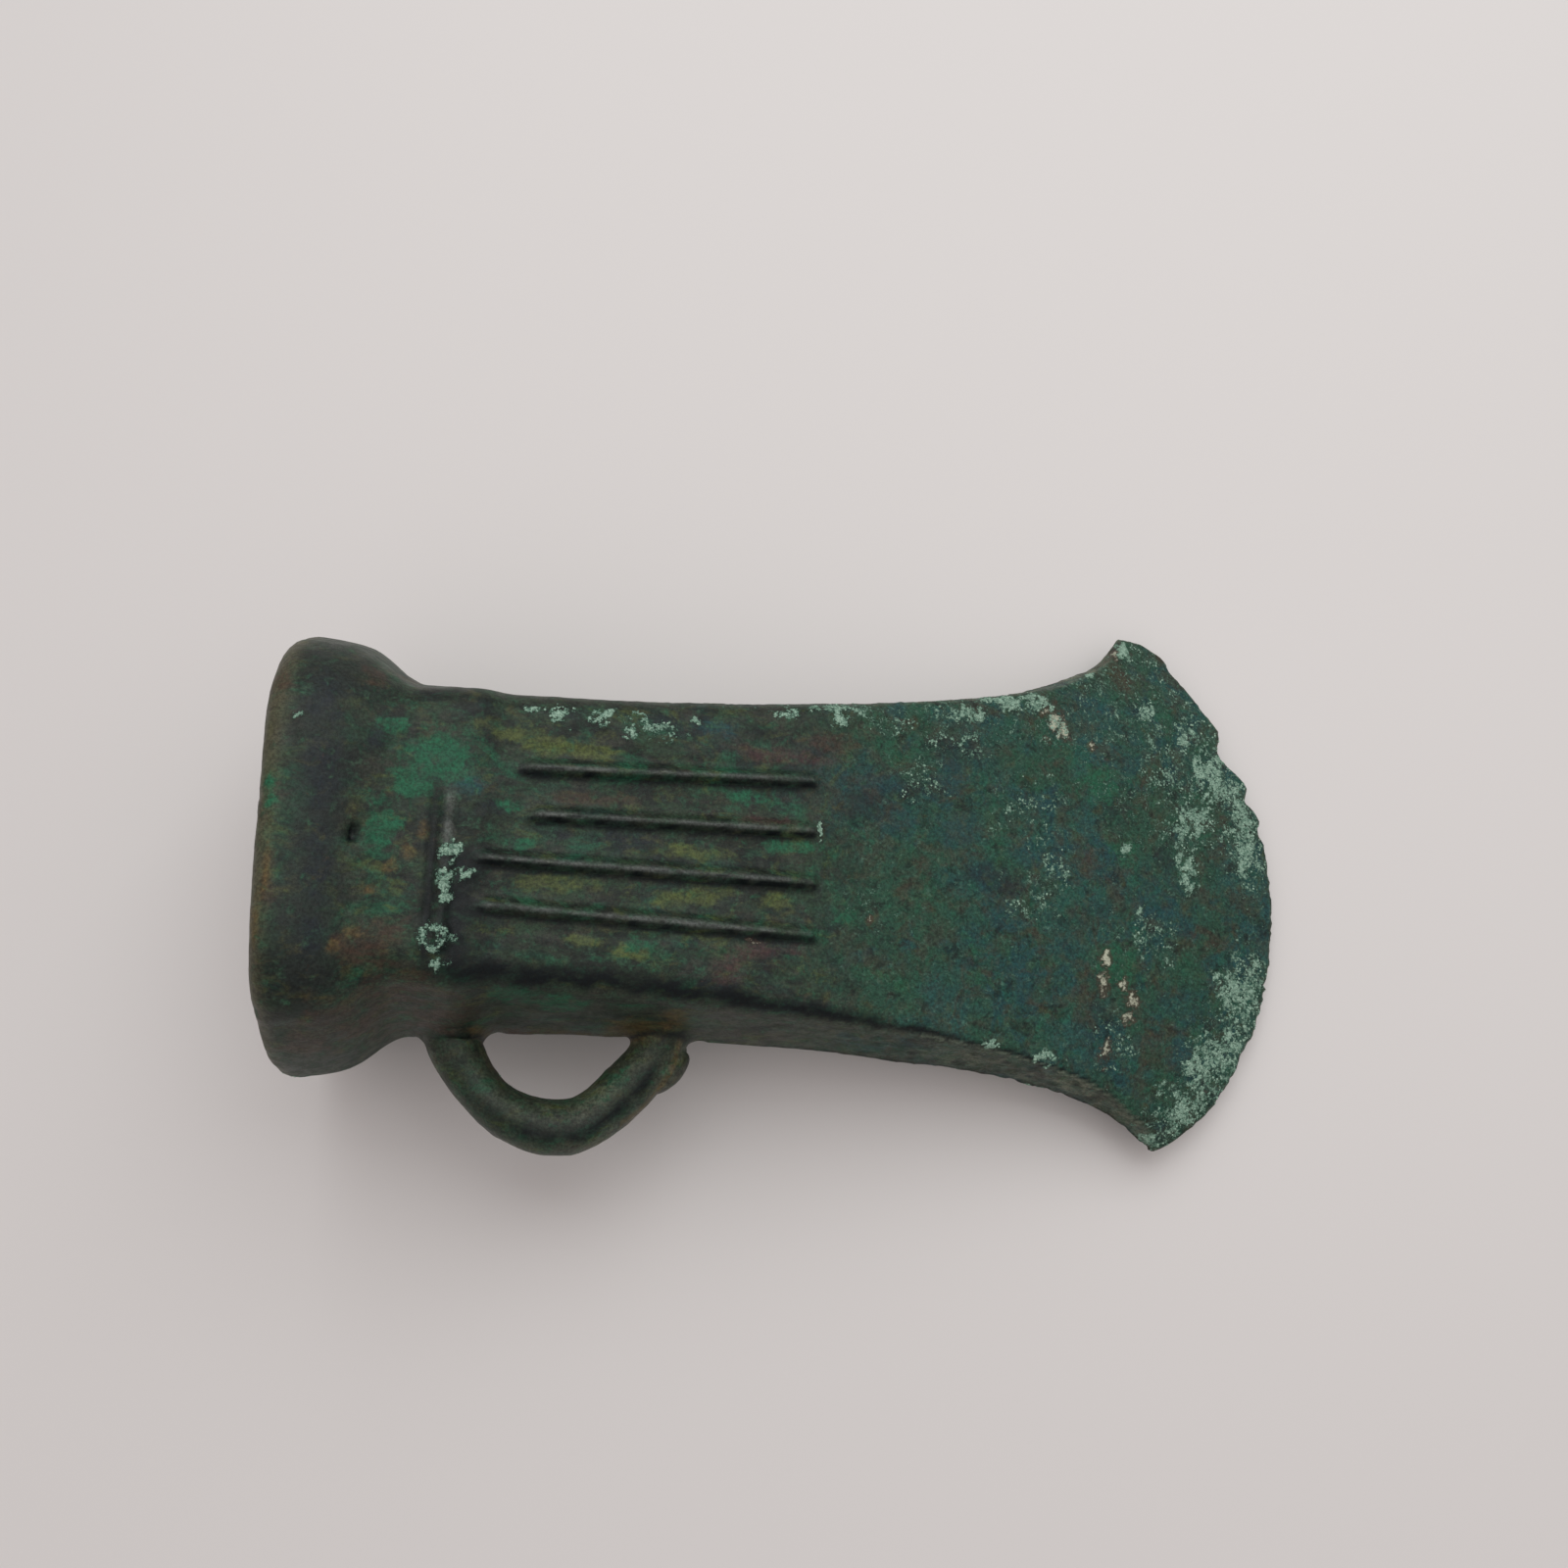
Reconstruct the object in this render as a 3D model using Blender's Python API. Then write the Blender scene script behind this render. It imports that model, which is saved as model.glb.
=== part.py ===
# Socketed axe head of cast bronze, found in the ground: hollow socket with a trumpet mouth,
# four ribs on each face, a side loop, and a spreading blade with a chipped cutting edge.
#
# Axe frame, used by every function below: x runs from the mouth to the cutting edge,
# y across the faces (the loop is at -y) and z through the thickness, from the casting
# seam at z = 0. The head lies on its lower face, so the last step tips this frame.

import math

import bpy
import numpy as np

# Whole head
LENGTH = 0.1050            # mouth to the middle of the cutting edge
BODY_WIDTH = 0.0344        # across the casting seams behind the blade
UPPER_SIDE = 0.0003        # the side at +y stands out this much more
NECK_THICKNESS = 0.0304    # between the two faces just behind the collar
FACE_SWELL = 0.00135       # how far each face stands out of a straight wedge
SWELL_LEAN = 1.3           # over 1, the swell is fullest towards the blade
BALANCE = 0.45             # share of the length where the weight lies
EDGE_THICKNESS = 0.0006    # blunt cutting edge
WALL_DRAFT = math.radians(15)    # lean of the side walls from the seam to the face

# Blade
BLADE_START = 0.0250       # from here on the sides spread
BLADE_SPREAD = 0.0060      # slow spread of each side along the blade
UPPER_HORN = 0.0293        # reach of the horn at +y
LOWER_HORN = 0.0277        # reach of the worn horn at -y
HORN_SHARPNESS = 11.5      # how late the sides turn out into the horns
EDGE_BOW = 0.0164          # the middle of the edge stands this far past the upper horn
EDGE_FULLNESS = 0.0005     # towards the horns the edge stands this far before its arc
FULLNESS_RANGE = (0.2, 0.7)    # it grows between these shares of a horn's reach
UPPER_TIP = 0.0018         # the blunt tip of the upper horn stands out this much more
UPPER_TIP_START = 0.8      # from this share of the horn's reach on
LOWER_WEAR = 0.0021        # metal worn off the tip of the lower horn
LOWER_WEAR_START = 0.9     # from this share of the horn's reach on
BOW_START = 0.0500         # cross lines are straight up to here, then bow like the edge

# Chips in the cutting edge: place across, half width and depth
CHIPS = (
    (0.0154, 0.0034, 0.0020),
    (0.0104, 0.0020, 0.0010),
    (0.0069, 0.0016, 0.0006),
    (-0.0177, 0.0022, 0.0006),
)
CHIP_REACH = 0.0070        # a chip fades out this far behind the edge

# Trumpet collar round the mouth
COLLAR_LENGTH = 0.0123
COLLAR_SIDE_RISE = 0.0045  # how far its crest stands out of the side walls
LOOP_SIDE_RISE = 0.0041    # the same on the loop's side
COLLAR_FULLNESS = 1.5      # over 1, the crest runs out later on the side walls than on the faces
COLLAR_FACE_RISE = 0.0018  # and out of the faces
COLLAR_DRAFT = math.radians(18)    # lean of its sides
COLLAR_BULGE = 0.5         # round of the collar's sides towards the seam
LIP_RADIUS = 0.0023        # round of the rim
LOOP_SIDE_LIP = 0.45       # the rim is rounded by this share of that on the loop's side
MOUTH_SLANT = 0.035        # slope by which the rim runs out of square

# Corner round between face and side wall
COLLAR_CORNER = 0.0125
LOOP_SIDE_CORNER = 0.0088  # the collar's corners on the loop's side are fuller
BODY_CORNER = 0.0034
BLADE_CORNER = 0.0006
CORNER_ROOM_DOWN = 0.95    # a corner takes up at most this share of the side wall
CORNER_ROOM_ACROSS = 0.8   # and this share of the half face

# Low band behind the collar, with a short cross rib and a groove in front of it
BAND_RISE = 0.0005
BAND_END = 0.0175
BAND_FADE = 0.0035
GROOVE_PLACE = 0.0146
GROOVE_WIDTH = 0.0012
GROOVE_DEPTH = 0.0002
CROSS_RIB_PLACE = 0.0159
CROSS_RIB_WIDTH = 0.0020
CROSS_RIB_HEIGHT = 0.00035
CROSS_RANGE = (-0.0135, 0.0045)    # rib and groove lie between these places across the face
CROSS_FADE = 0.0020        # they die out over this length at both ends

# Ribs on both faces
RIB_STARTS = (0.0183, 0.0178, 0.0222, 0.0212)    # from -y to +y
RIB_END = 0.0512
RIB_PITCH = 0.0043         # spacing at the neck end
RIB_FAN = 0.026            # spacing gained for each metre along, because the ribs fan out
RIB_FLANKS = (0.0008, 0.0013)    # reach of a rib from its crest, to -y and to +y
RIB_HEIGHT = 0.0008
RIB_SHIFT = -0.00013       # the ribs sit a little towards the loop
RIB_FADE = 0.0020          # a rib rises over this length at the neck
RIB_ROOM = 0.93            # the outer ribs stay within this share of the flat face

# Haft socket
SOCKET_DEPTH = 0.0660
SIDE_WALL = 0.0026         # bronze beside the socket at the neck
FACE_WALL = 0.0034         # bronze between the socket and each face
SOCKET_FLOOR_WIDTH = 0.0210
SOCKET_CORNER = 0.0045
SOCKET_DRAFT = math.radians(6)     # lean of its side walls
MOUTH_ROUND = 0.0007       # worn inner edge of the mouth

# Loop
LOOP_PLACE = 0.0272        # middle of the loop, from the mouth
LOOP_RADIUS = 0.0103       # of the bar's middle line
LOOP_REACH = 0.0090        # the bar's middle line stands this far off the side wall
LOOP_BAR = 0.0053          # bar thickness in the loop's plane
LOOP_BREADTH = 0.0058      # bar thickness through the head
LOOP_ROOT = 1.14           # the bar grows by this factor where it joins the wall
LOOP_ROOT_START = 0.74     # from this share of the half turn on
LOOP_FLAT = 0.0012         # the blade's side of the loop is pulled in this much
LOOP_SLIM = 0.0008         # the bar is this much thinner on the mouth's side
LOOP_LEAN = 0.0006         # both ends lean this much towards the mouth
LOOP_SINK = 0.0011         # the bar's ends stop this deep in the wall

# Runner stub left by the casting where the loop meets the wall on the blade's side
STUB_SIZE = (0.0016, 0.0029, 0.0023)    # half its width, length and height
STUB_TURN = math.radians(45)    # its length lies along the outside of the loop
STUB_STAND = 0.0032        # its middle stands this far off the wall

# Mesh fineness
LIP_ANGLES = (0, 35, 62, 90)
COLLAR_STEPS = 6
RIB_STEPS = 8
SOCKET_STEPS = 7
ARC_STEPS = 4
WALL_STEPS = 2
LOOP_STEPS = 22
LOOP_SIDES = 12
STUB_STEPS = 6
STUB_SIDES = 8
BLADE_STATIONS = 17
BLADE_CROWDING = 0.35      # how much closer the cross lines stand near the edge
LEAST_STEP = 0.0002        # cross lines nearer than this are one
SHARP_ANGLE = math.radians(38)     # folds sharper than this are not shaded smooth

HORN_PLACE = LENGTH - EDGE_BOW
EDGE_RADIUS = (UPPER_HORN ** 2 + EDGE_BOW ** 2) / (2 * EDGE_BOW)


def ease(value, start, end):
    """Smooth step from 0 at start to 1 at end."""
    t = np.clip((value - start) / (end - start), 0.0, 1.0)
    return t * t * (3 - 2 * t)


def hump(offset, half_width):
    """Round hump, 1 in the middle and 0 from half_width on."""
    t = np.clip(np.abs(offset) / half_width, 0.0, 1.0)
    return np.cos(t * math.pi / 2) ** 2


# Plan: the seam's distance from the middle line, and the bowed cross lines

def collar_rise(x, fullness=1.0):
    """Share of the collar's rise at x, an ogee that falls from its crest to the neck."""
    t = np.clip((x - LIP_RADIUS) / (COLLAR_LENGTH - LIP_RADIUS), 0.0, 1.0)
    return (1 + np.cos(math.pi * t ** fullness)) / 2


def lip_loss(x):
    """What the round lip takes off the collar in front of its crest."""
    t = np.clip(1 - x / LIP_RADIUS, 0.0, 1.0)
    return LIP_RADIUS * (1 - np.sqrt(1 - t * t))


def band_rise(x):
    return BAND_RISE * (1 - ease(x, BAND_END, BAND_END + BAND_FADE))


def seam_half_width(x, horn):
    """Distance of the casting seam from the middle line at x, on the side with this horn."""
    t = max(0.0, (x - BLADE_START) / (HORN_PLACE - BLADE_START))
    horn_spread = horn - BODY_WIDTH / 2 - BLADE_SPREAD
    body = BODY_WIDTH / 2 + BLADE_SPREAD * t ** 2 + horn_spread * t ** HORN_SHARPNESS
    if horn == UPPER_HORN:
        side, rise, lip_share = UPPER_SIDE, COLLAR_SIDE_RISE, 1.0
    else:
        side, rise, lip_share = 0.0, LOOP_SIDE_RISE, LOOP_SIDE_LIP
    collar = rise * collar_rise(x, COLLAR_FULLNESS) - lip_share * lip_loss(x)
    return min(body + side, horn) + collar + band_rise(x)


def edge_drop(y):
    """How far the cutting edge falls back at y from its foremost point."""
    arc = EDGE_RADIUS - math.sqrt(max(EDGE_RADIUS ** 2 - y ** 2, 0.0))
    start, end = (share * LOWER_HORN for share in FULLNESS_RANGE)
    full = EDGE_FULLNESS * ease(abs(y), start, end)
    full += UPPER_TIP * ease(y, UPPER_TIP_START * UPPER_HORN, UPPER_HORN)
    worn = LOWER_WEAR * ease(-y, LOWER_WEAR_START * LOWER_HORN, LOWER_HORN)
    return arc - full + worn


def bow_share(s):
    return ease(s, BOW_START, LENGTH)


def station_half_width(s, side):
    """Where the bowed cross line of station s meets the seam on one side, by bisection."""
    horn = UPPER_HORN if side > 0 else LOWER_HORN
    low, high = 0.0, EDGE_RADIUS
    for _ in range(50):
        middle = (low + high) / 2
        x = s - bow_share(s) * edge_drop(side * middle)
        if middle < seam_half_width(x, horn):
            low = middle
        else:
            high = middle
    return low


# Thickness and sections

def face_height(s):
    """Height of a face over the seam plane at station s."""
    t = (s - COLLAR_LENGTH) / (LENGTH - COLLAR_LENGTH)
    wedge = NECK_THICKNESS / 2 + (EDGE_THICKNESS - NECK_THICKNESS) / 2 * t
    swell = FACE_SWELL * np.sin(math.pi * np.clip(t, 0.0, 1.0) ** SWELL_LEAN)
    return wedge + swell + COLLAR_FACE_RISE * collar_rise(s) - lip_loss(s) + band_rise(s)


def draft_at(s):
    return COLLAR_DRAFT + (WALL_DRAFT - COLLAR_DRAFT) * ease(s, LIP_RADIUS, BLADE_START)


def corner_at(s, side):
    """Radius of the round between face and side wall; the loop is on side -1."""
    collar = COLLAR_CORNER if side > 0 else LOOP_SIDE_CORNER
    body = collar + (BODY_CORNER - collar) * ease(s, LIP_RADIUS, GROOVE_PLACE)
    return body + (BLADE_CORNER - body) * ease(s, BLADE_START, LENGTH - EDGE_BOW)


def rib_lines(s):
    """Middle lines of the ribs across the face at station s."""
    count = len(RIB_STARTS)
    pitch = RIB_PITCH + RIB_FAN * max(0.0, s - RIB_STARTS[0])
    return [RIB_SHIFT + (k - (count - 1) / 2) * pitch for k in range(count)]


def face_columns(s, low, high):
    """Places across the face for the mesh columns: on the ribs, then even on the blade."""
    steep, gentle = RIB_FLANKS
    places = (-steep, -steep / 2, 0.0, gentle / 2, gentle)
    lines = rib_lines(s)
    columns = []
    for k, line in enumerate(lines):
        if k:
            columns.append((lines[k - 1] + line) / 2)
        columns += [line + place for place in places]
    squeeze = min(1.0, RIB_ROOM * min(-low, high) / max(-columns[0], columns[-1]))
    columns = [squeeze * y for y in columns]
    columns = [low, (low + columns[0]) / 2] + columns + [(columns[-1] + high) / 2, high]
    columns = np.array(columns)
    even = np.linspace(low, high, len(columns))
    share = max(ease(s, RIB_END, HORN_PLACE), 1 - ease(s, LIP_RADIUS, COLLAR_LENGTH))
    return columns * (1 - share) + even * share


def face_relief(s, y):
    """Ribs, the cross rib and its groove, as height over the plain face."""
    height = 0.0
    for start, line in zip(RIB_STARTS, rib_lines(s)):
        along = ease(s, start, start + RIB_FADE) * (1 - ease(s, RIB_END - RIB_FADE / 2, RIB_END))
        flank = RIB_FLANKS[0] if y < line else RIB_FLANKS[1]
        height += RIB_HEIGHT * along * hump(y - line, flank)
    low, high = CROSS_RANGE
    across = ease(y, low, low + CROSS_FADE) * (1 - ease(y, high - CROSS_FADE, high))
    height += CROSS_RIB_HEIGHT * across * hump(s - CROSS_RIB_PLACE, CROSS_RIB_WIDTH / 2)
    return height - GROOVE_DEPTH * across * hump(s - GROOVE_PLACE, GROOVE_WIDTH / 2)


def half_section(columns, reaches, height, draft, corners, bulge):
    """Upper half of a section, from the seam at -y over the face to the seam at +y.

    columns gives the places across the face for a pair of flat ends. reaches and corners
    hold the seam's distance and the corner's radius for the -y and the +y side.
    """
    turn = math.pi / 2 - draft
    fold_back = height * math.tan(draft)
    slope = height / math.cos(draft)
    sides = {}
    for side, reach, corner in zip((-1, 1), reaches, corners):
        roomy = min(CORNER_ROOM_DOWN * slope, CORNER_ROOM_ACROSS * (reach - fold_back))
        tangent = min(corner * math.tan(turn / 2), roomy)
        radius = tangent / math.tan(turn / 2)
        flat = reach - fold_back - tangent
        arc = []
        for k in range(1, ARC_STEPS + 1):
            angle = turn * k / ARC_STEPS
            arc.append((side * (flat + radius * math.sin(angle)), height - radius * (1 - math.cos(angle))))
        last_y, last_z = arc[-1]
        for k in range(1, WALL_STEPS + 1):
            share = k / WALL_STEPS
            out = share + bulge * share * (1 - share)
            arc.append((last_y + (side * reach - last_y) * out, last_z * (1 - share)))
        sides[side] = (side * flat, arc)
    low_flat, low_arc = sides[-1]
    high_flat, high_arc = sides[1]
    face = [(y, height) for y in columns(low_flat, high_flat)]
    return low_arc[::-1] + face + high_arc


def full_ring(upper):
    """Closes a half section with its mirror image under the seam plane."""
    return upper + [(x, y, -z) for x, y, z in upper[-2:0:-1]]


def chip_depth(y):
    return sum(depth * hump(y - place, half) for place, half, depth in CHIPS)


def slant(x, y):
    """Shift along the head that puts the rim out of square and dies out at the neck."""
    return -MOUTH_SLANT * y * (1 - ease(x, 0.0, COLLAR_LENGTH))


def outer_ring(s):
    """Points of the outer skin at station s, all the way round."""
    reaches = station_half_width(s, -1), station_half_width(s, 1)
    corners = corner_at(s, -1), corner_at(s, 1)
    bulge = COLLAR_BULGE * (1 - ease(s, LIP_RADIUS, BLADE_START))
    columns = lambda a, b: face_columns(s, a, b)
    upper = half_section(columns, reaches, face_height(s), draft_at(s), corners, bulge)
    face_span = range(ARC_STEPS + WALL_STEPS, len(upper) - ARC_STEPS - WALL_STEPS)
    points = []
    for k, (y, z) in enumerate(upper):
        back = chip_depth(y) * ease(s, LENGTH - CHIP_REACH, LENGTH)
        if k in face_span:
            z = face_height(s - back) + face_relief(s, y)
        points.append((s - back - bow_share(s) * edge_drop(y) + slant(s, y), y, z))
    return full_ring(points)


def socket_size(x):
    """Half width and half height of the socket at x; its walls run straight to the floor."""
    t = (x - COLLAR_LENGTH) / (SOCKET_DEPTH - COLLAR_LENGTH)
    neck_width = BODY_WIDTH / 2 - SIDE_WALL
    neck_height = face_height(COLLAR_LENGTH) - band_rise(COLLAR_LENGTH) - FACE_WALL
    floor_height = face_height(SOCKET_DEPTH) - FACE_WALL
    width = neck_width + (SOCKET_FLOOR_WIDTH / 2 - neck_width) * t
    return width, neck_height + (floor_height - neck_height) * t


def inner_ring(x, widen):
    """Points of the socket wall at x; widen opens it for the worn mouth edge."""
    width, height = socket_size(x)
    width += widen
    height += widen
    count = len(face_columns(x, -width, width))
    even = lambda a, b: np.linspace(a, b, count)
    corners = SOCKET_CORNER, SOCKET_CORNER
    upper = half_section(even, (width, width), height, SOCKET_DRAFT, corners, 0.0)
    return full_ring([(x + slant(x, y), y, z) for y, z in upper])


def stations():
    """Places of the outer rings along the head, close together where the shape turns."""
    lip = [LIP_RADIUS * (1 - math.cos(math.radians(angle))) for angle in LIP_ANGLES]
    collar = list(np.linspace(LIP_RADIUS, COLLAR_LENGTH, COLLAR_STEPS + 1)[1:])
    neck = [GROOVE_PLACE + step * GROOVE_WIDTH / 2 for step in (-1, 0, 1)]
    neck += [CROSS_RIB_PLACE, CROSS_RIB_PLACE + CROSS_RIB_WIDTH / 2, BAND_END]
    neck.append(min(RIB_STARTS) + RIB_FADE / 2)
    ribbed = list(np.linspace(max(RIB_STARTS), RIB_END - RIB_FADE / 2, RIB_STEPS))
    t = np.linspace(0.0, 1.0, BLADE_STATIONS)
    blade = RIB_END + (LENGTH - RIB_END) * (t + BLADE_CROWDING * t * (1 - t))
    rows = sorted(set(lip + collar + neck + ribbed + list(blade)))
    return [x for k, x in enumerate(rows) if k == 0 or x - rows[k - 1] > LEAST_STEP]


def body_mesh():
    """One closed skin: outer side, rim, socket wall and socket floor."""
    rings = [inner_ring(x, 0.0) for x in np.linspace(SOCKET_DEPTH, MOUTH_ROUND, SOCKET_STEPS)]
    rings.append(inner_ring(0.0, MOUTH_ROUND))
    rings += [outer_ring(s) for s in stations()]
    count = len(rings[0])
    points = [point for ring in rings for point in ring]
    faces = []
    for row in range(len(rings) - 1):
        for k in range(count):
            a, b = row * count + k, row * count + (k + 1) % count
            faces.append((a, a + count, b + count, b))
    half = count // 2
    for first, flip in ((0, False), ((len(rings) - 1) * count, True)):
        for k in range(half):
            across = [k, k + 1, count - k - 1, (count - k) % count]
            face = list(dict.fromkeys(first + i for i in across))
            faces.append(face[::-1] if flip else face)
    return points, faces


def wall_place(x, z):
    """Distance of the side wall from the middle line at x and height z, on the loop's side."""
    return seam_half_width(x, LOWER_HORN) - abs(z) * math.tan(draft_at(x))


def loop_mesh():
    """Bent bar of oval section; both ends stop inside the side wall."""
    wall = wall_place(LOOP_PLACE, 0.0)
    middle_y = -(wall + LOOP_REACH - LOOP_RADIUS)
    opening = math.acos(min(1.0, (LOOP_RADIUS - LOOP_REACH - LOOP_SINK) / LOOP_RADIUS))
    rings = []
    for k in range(LOOP_STEPS + 1):
        angle = opening * (2 * k / LOOP_STEPS - 1)
        out_x, out_y = math.sin(angle), -math.cos(angle)
        grow = 1 + (LOOP_ROOT - 1) * ease(abs(angle), LOOP_ROOT_START * opening, opening)
        on_side = hump(abs(angle) - opening / 2, opening / 2)
        radius = LOOP_RADIUS - (LOOP_FLAT * on_side if angle > 0 else 0.0)
        bar = LOOP_BAR - (LOOP_SLIM * on_side if angle < 0 else 0.0)
        lean = LOOP_LEAN * ease(abs(angle), opening / 2, opening)
        ring = []
        for i in range(LOOP_SIDES):
            turn = 2 * math.pi * i / LOOP_SIDES
            along = radius + grow * bar / 2 * math.cos(turn)
            z = grow * LOOP_BREADTH / 2 * math.sin(turn)
            x = LOOP_PLACE + along * out_x - lean
            y = middle_y + along * out_y
            if k in (0, LOOP_STEPS):
                y = -(wall_place(x, z) - LOOP_SINK)
            ring.append((x, y, z))
        rings.append(ring)
    points = [point for ring in rings for point in ring]
    faces = []
    for row in range(LOOP_STEPS):
        for i in range(LOOP_SIDES):
            a, b = row * LOOP_SIDES + i, row * LOOP_SIDES + (i + 1) % LOOP_SIDES
            faces.append((a, a + LOOP_SIDES, b + LOOP_SIDES, b))
    last = LOOP_STEPS * LOOP_SIDES
    faces.append(tuple(range(LOOP_SIDES)))
    faces.append(tuple(last + i for i in range(LOOP_SIDES))[::-1])
    return points, faces


def stub_mesh():
    """Egg-shaped lump of metal that lies along the outside of the loop on the blade's side."""
    wide, long, tall = STUB_SIZE
    rows, sides = STUB_STEPS, STUB_SIDES
    middle_x = LOOP_PLACE + LOOP_RADIUS
    middle_y = -(wall_place(middle_x, 0.0) + STUB_STAND)
    sine, cosine = math.sin(STUB_TURN), math.cos(STUB_TURN)
    points = []
    for row in range(rows + 1):
        tip = math.pi * row / rows
        along = -long * math.cos(tip)
        for i in range(sides if 0 < row < rows else 1):
            turn = 2 * math.pi * i / sides
            across = wide * math.sin(tip) * math.cos(turn)
            x = middle_x + along * sine + across * cosine
            y = middle_y + along * cosine - across * sine
            points.append((x, y, tall * math.sin(tip) * math.sin(turn)))
    faces = []
    for i in range(sides):
        faces.append((0, 1 + i, 1 + (i + 1) % sides))
        end = 1 + (rows - 2) * sides
        faces.append((len(points) - 1, end + (i + 1) % sides, end + i))
        for row in range(rows - 2):
            a, b = 1 + row * sides + i, 1 + row * sides + (i + 1) % sides
            faces.append((a, a + sides, b + sides, b))
    return points, faces


def resting_tilt(points):
    """Tip that levels the underside, from the lower outline seen from the side."""
    flat = sorted({(round(x, 7), round(z, 7)) for x, _, z in points})
    hull = []
    for x, z in flat:
        while len(hull) > 1:
            (ax, az), (bx, bz) = hull[-2], hull[-1]
            if (bx - ax) * (z - az) - (bz - az) * (x - ax) > 0:
                break
            hull.pop()
        hull.append((x, z))
    for (ax, az), (bx, bz) in zip(hull, hull[1:]):
        if bx > BALANCE * LENGTH:
            return math.atan2(bz - az, bx - ax)
    return 0.0


def bronze():
    material = bpy.data.materials.new("green patinated bronze")
    material.use_nodes = True
    shader = material.node_tree.nodes["Principled BSDF"]
    shader.inputs["Base Color"].default_value = (0.035, 0.105, 0.068, 1.0)
    shader.inputs["Roughness"].default_value = 0.55
    shader.inputs["Metallic"].default_value = 0.35
    return material


def add_object(name, points, faces, material):
    mesh = bpy.data.meshes.new(name)
    mesh.from_pydata(points, [], faces)
    mesh.validate()
    mesh.materials.append(material)
    mesh.shade_smooth()
    mesh.set_sharp_from_angle(angle=SHARP_ANGLE)
    item = bpy.data.objects.new(name, mesh)
    bpy.context.scene.collection.objects.link(item)
    return item


def join_solid(body, guide):
    """Casts a second shape onto the body and keeps that shape only as a guide."""
    guide.hide_render = True
    guide.display_type = "WIRE"
    union = body.modifiers.new("cast with " + guide.name, "BOOLEAN")
    union.operation = "UNION"
    union.solver = "EXACT"
    union.object = guide


def main():
    for item in list(bpy.data.objects):
        bpy.data.objects.remove(item, do_unlink=True)
    metal = bronze()
    points, faces = body_mesh()
    body = add_object("axe_head", points, faces, metal)
    loop_points, loop_faces = loop_mesh()
    loop = add_object("loop shape", loop_points, loop_faces, metal)
    stub = add_object("stub shape", *stub_mesh(), metal)
    join_solid(body, loop)
    join_solid(body, stub)

    # The head lies on its lower face, with its lowest point at zero and its box centred
    tilt = resting_tilt(points)
    cosine, sine = math.cos(tilt), math.sin(tilt)
    laid = np.array([(cosine * x + sine * z, y, cosine * z - sine * x) for x, y, z in points + loop_points])
    low, high = laid.min(axis=0), laid.max(axis=0)
    rest = bpy.data.objects.new("rest", None)
    bpy.context.scene.collection.objects.link(rest)
    rest.rotation_euler = (0.0, tilt, 0.0)
    rest.location = (-(low[0] + high[0]) / 2, -(low[1] + high[1]) / 2, -low[2])
    for item in (body, loop, stub):
        item.parent = rest


main()
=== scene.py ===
# Socketed bronze axe head with a corroded green surface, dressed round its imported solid.
# Sizes are in millimetres until the last step of each piece; the world is in metres.
# Axe frame: x from the mouth to the cutting edge, y across the faces with the loop at -y,
# z through the thickness with the casting seam at z = 0.
import math

import bmesh
import bpy
import numpy as np
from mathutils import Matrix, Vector, noise


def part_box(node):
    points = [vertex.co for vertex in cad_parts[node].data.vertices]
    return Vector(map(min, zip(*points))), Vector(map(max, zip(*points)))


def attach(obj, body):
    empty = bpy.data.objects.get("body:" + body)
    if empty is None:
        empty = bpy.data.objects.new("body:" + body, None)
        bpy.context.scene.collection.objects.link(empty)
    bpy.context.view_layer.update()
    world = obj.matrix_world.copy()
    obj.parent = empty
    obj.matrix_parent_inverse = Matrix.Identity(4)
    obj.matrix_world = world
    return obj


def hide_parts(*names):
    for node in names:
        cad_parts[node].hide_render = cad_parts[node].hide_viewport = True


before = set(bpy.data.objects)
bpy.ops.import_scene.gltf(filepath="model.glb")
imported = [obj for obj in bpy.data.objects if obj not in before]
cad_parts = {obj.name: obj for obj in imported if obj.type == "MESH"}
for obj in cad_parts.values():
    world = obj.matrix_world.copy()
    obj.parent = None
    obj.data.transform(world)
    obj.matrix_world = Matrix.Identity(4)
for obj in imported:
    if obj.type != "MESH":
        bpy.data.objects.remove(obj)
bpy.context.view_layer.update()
mmPerMetre = 1000.0
boxLow, boxHigh = (np.array(corner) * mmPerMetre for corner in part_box("axe_head"))
print("frame loaded, box in mm", boxLow.round(2), boxHigh.round(2))


def ease(value, start, end):      # smooth step from 0 at start to 1 at end
    t = np.clip((value - start) / (end - start), 0.0, 1.0)
    return t * t * (3 - 2 * t)


def fall(value, start, end):      # smooth step from 1 at start to 0 at end
    return 1 - ease(value, start, end)


def hump(offset, halfWidth):      # 1 in the middle, 0 from halfWidth on
    return np.cos(np.clip(np.abs(offset) / halfWidth, 0.0, 1.0) * math.pi / 2) ** 2


def span(value, rise, drop):      # up over the first range, down over the second
    return ease(value, *rise) * fall(value, *drop)


def band(value, strength, place, halfWidth):
    return strength * hump(value - place, halfWidth)


def atLeast(least, share):
    return least + (1 - least) * share


def patchy(rough, middle, swing, least=0.0):      # noise made a share from least to 1
    return np.clip(middle + swing * rough, least, 1)


def roughness3d(points, scale, octaves, seed):      # layered noise about -1..1 at each point
    away = seed * np.array([7.3, 3.1, 5.7])      # each seed reads the noise elsewhere
    return np.array([noise.fractal(place, 1.0, 2.0, octaves) for place in (points * scale + away).tolist()])


def addObject(name, data):
    item = bpy.data.objects.new(name, data)
    bpy.context.scene.collection.objects.link(item)
    return item


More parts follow.
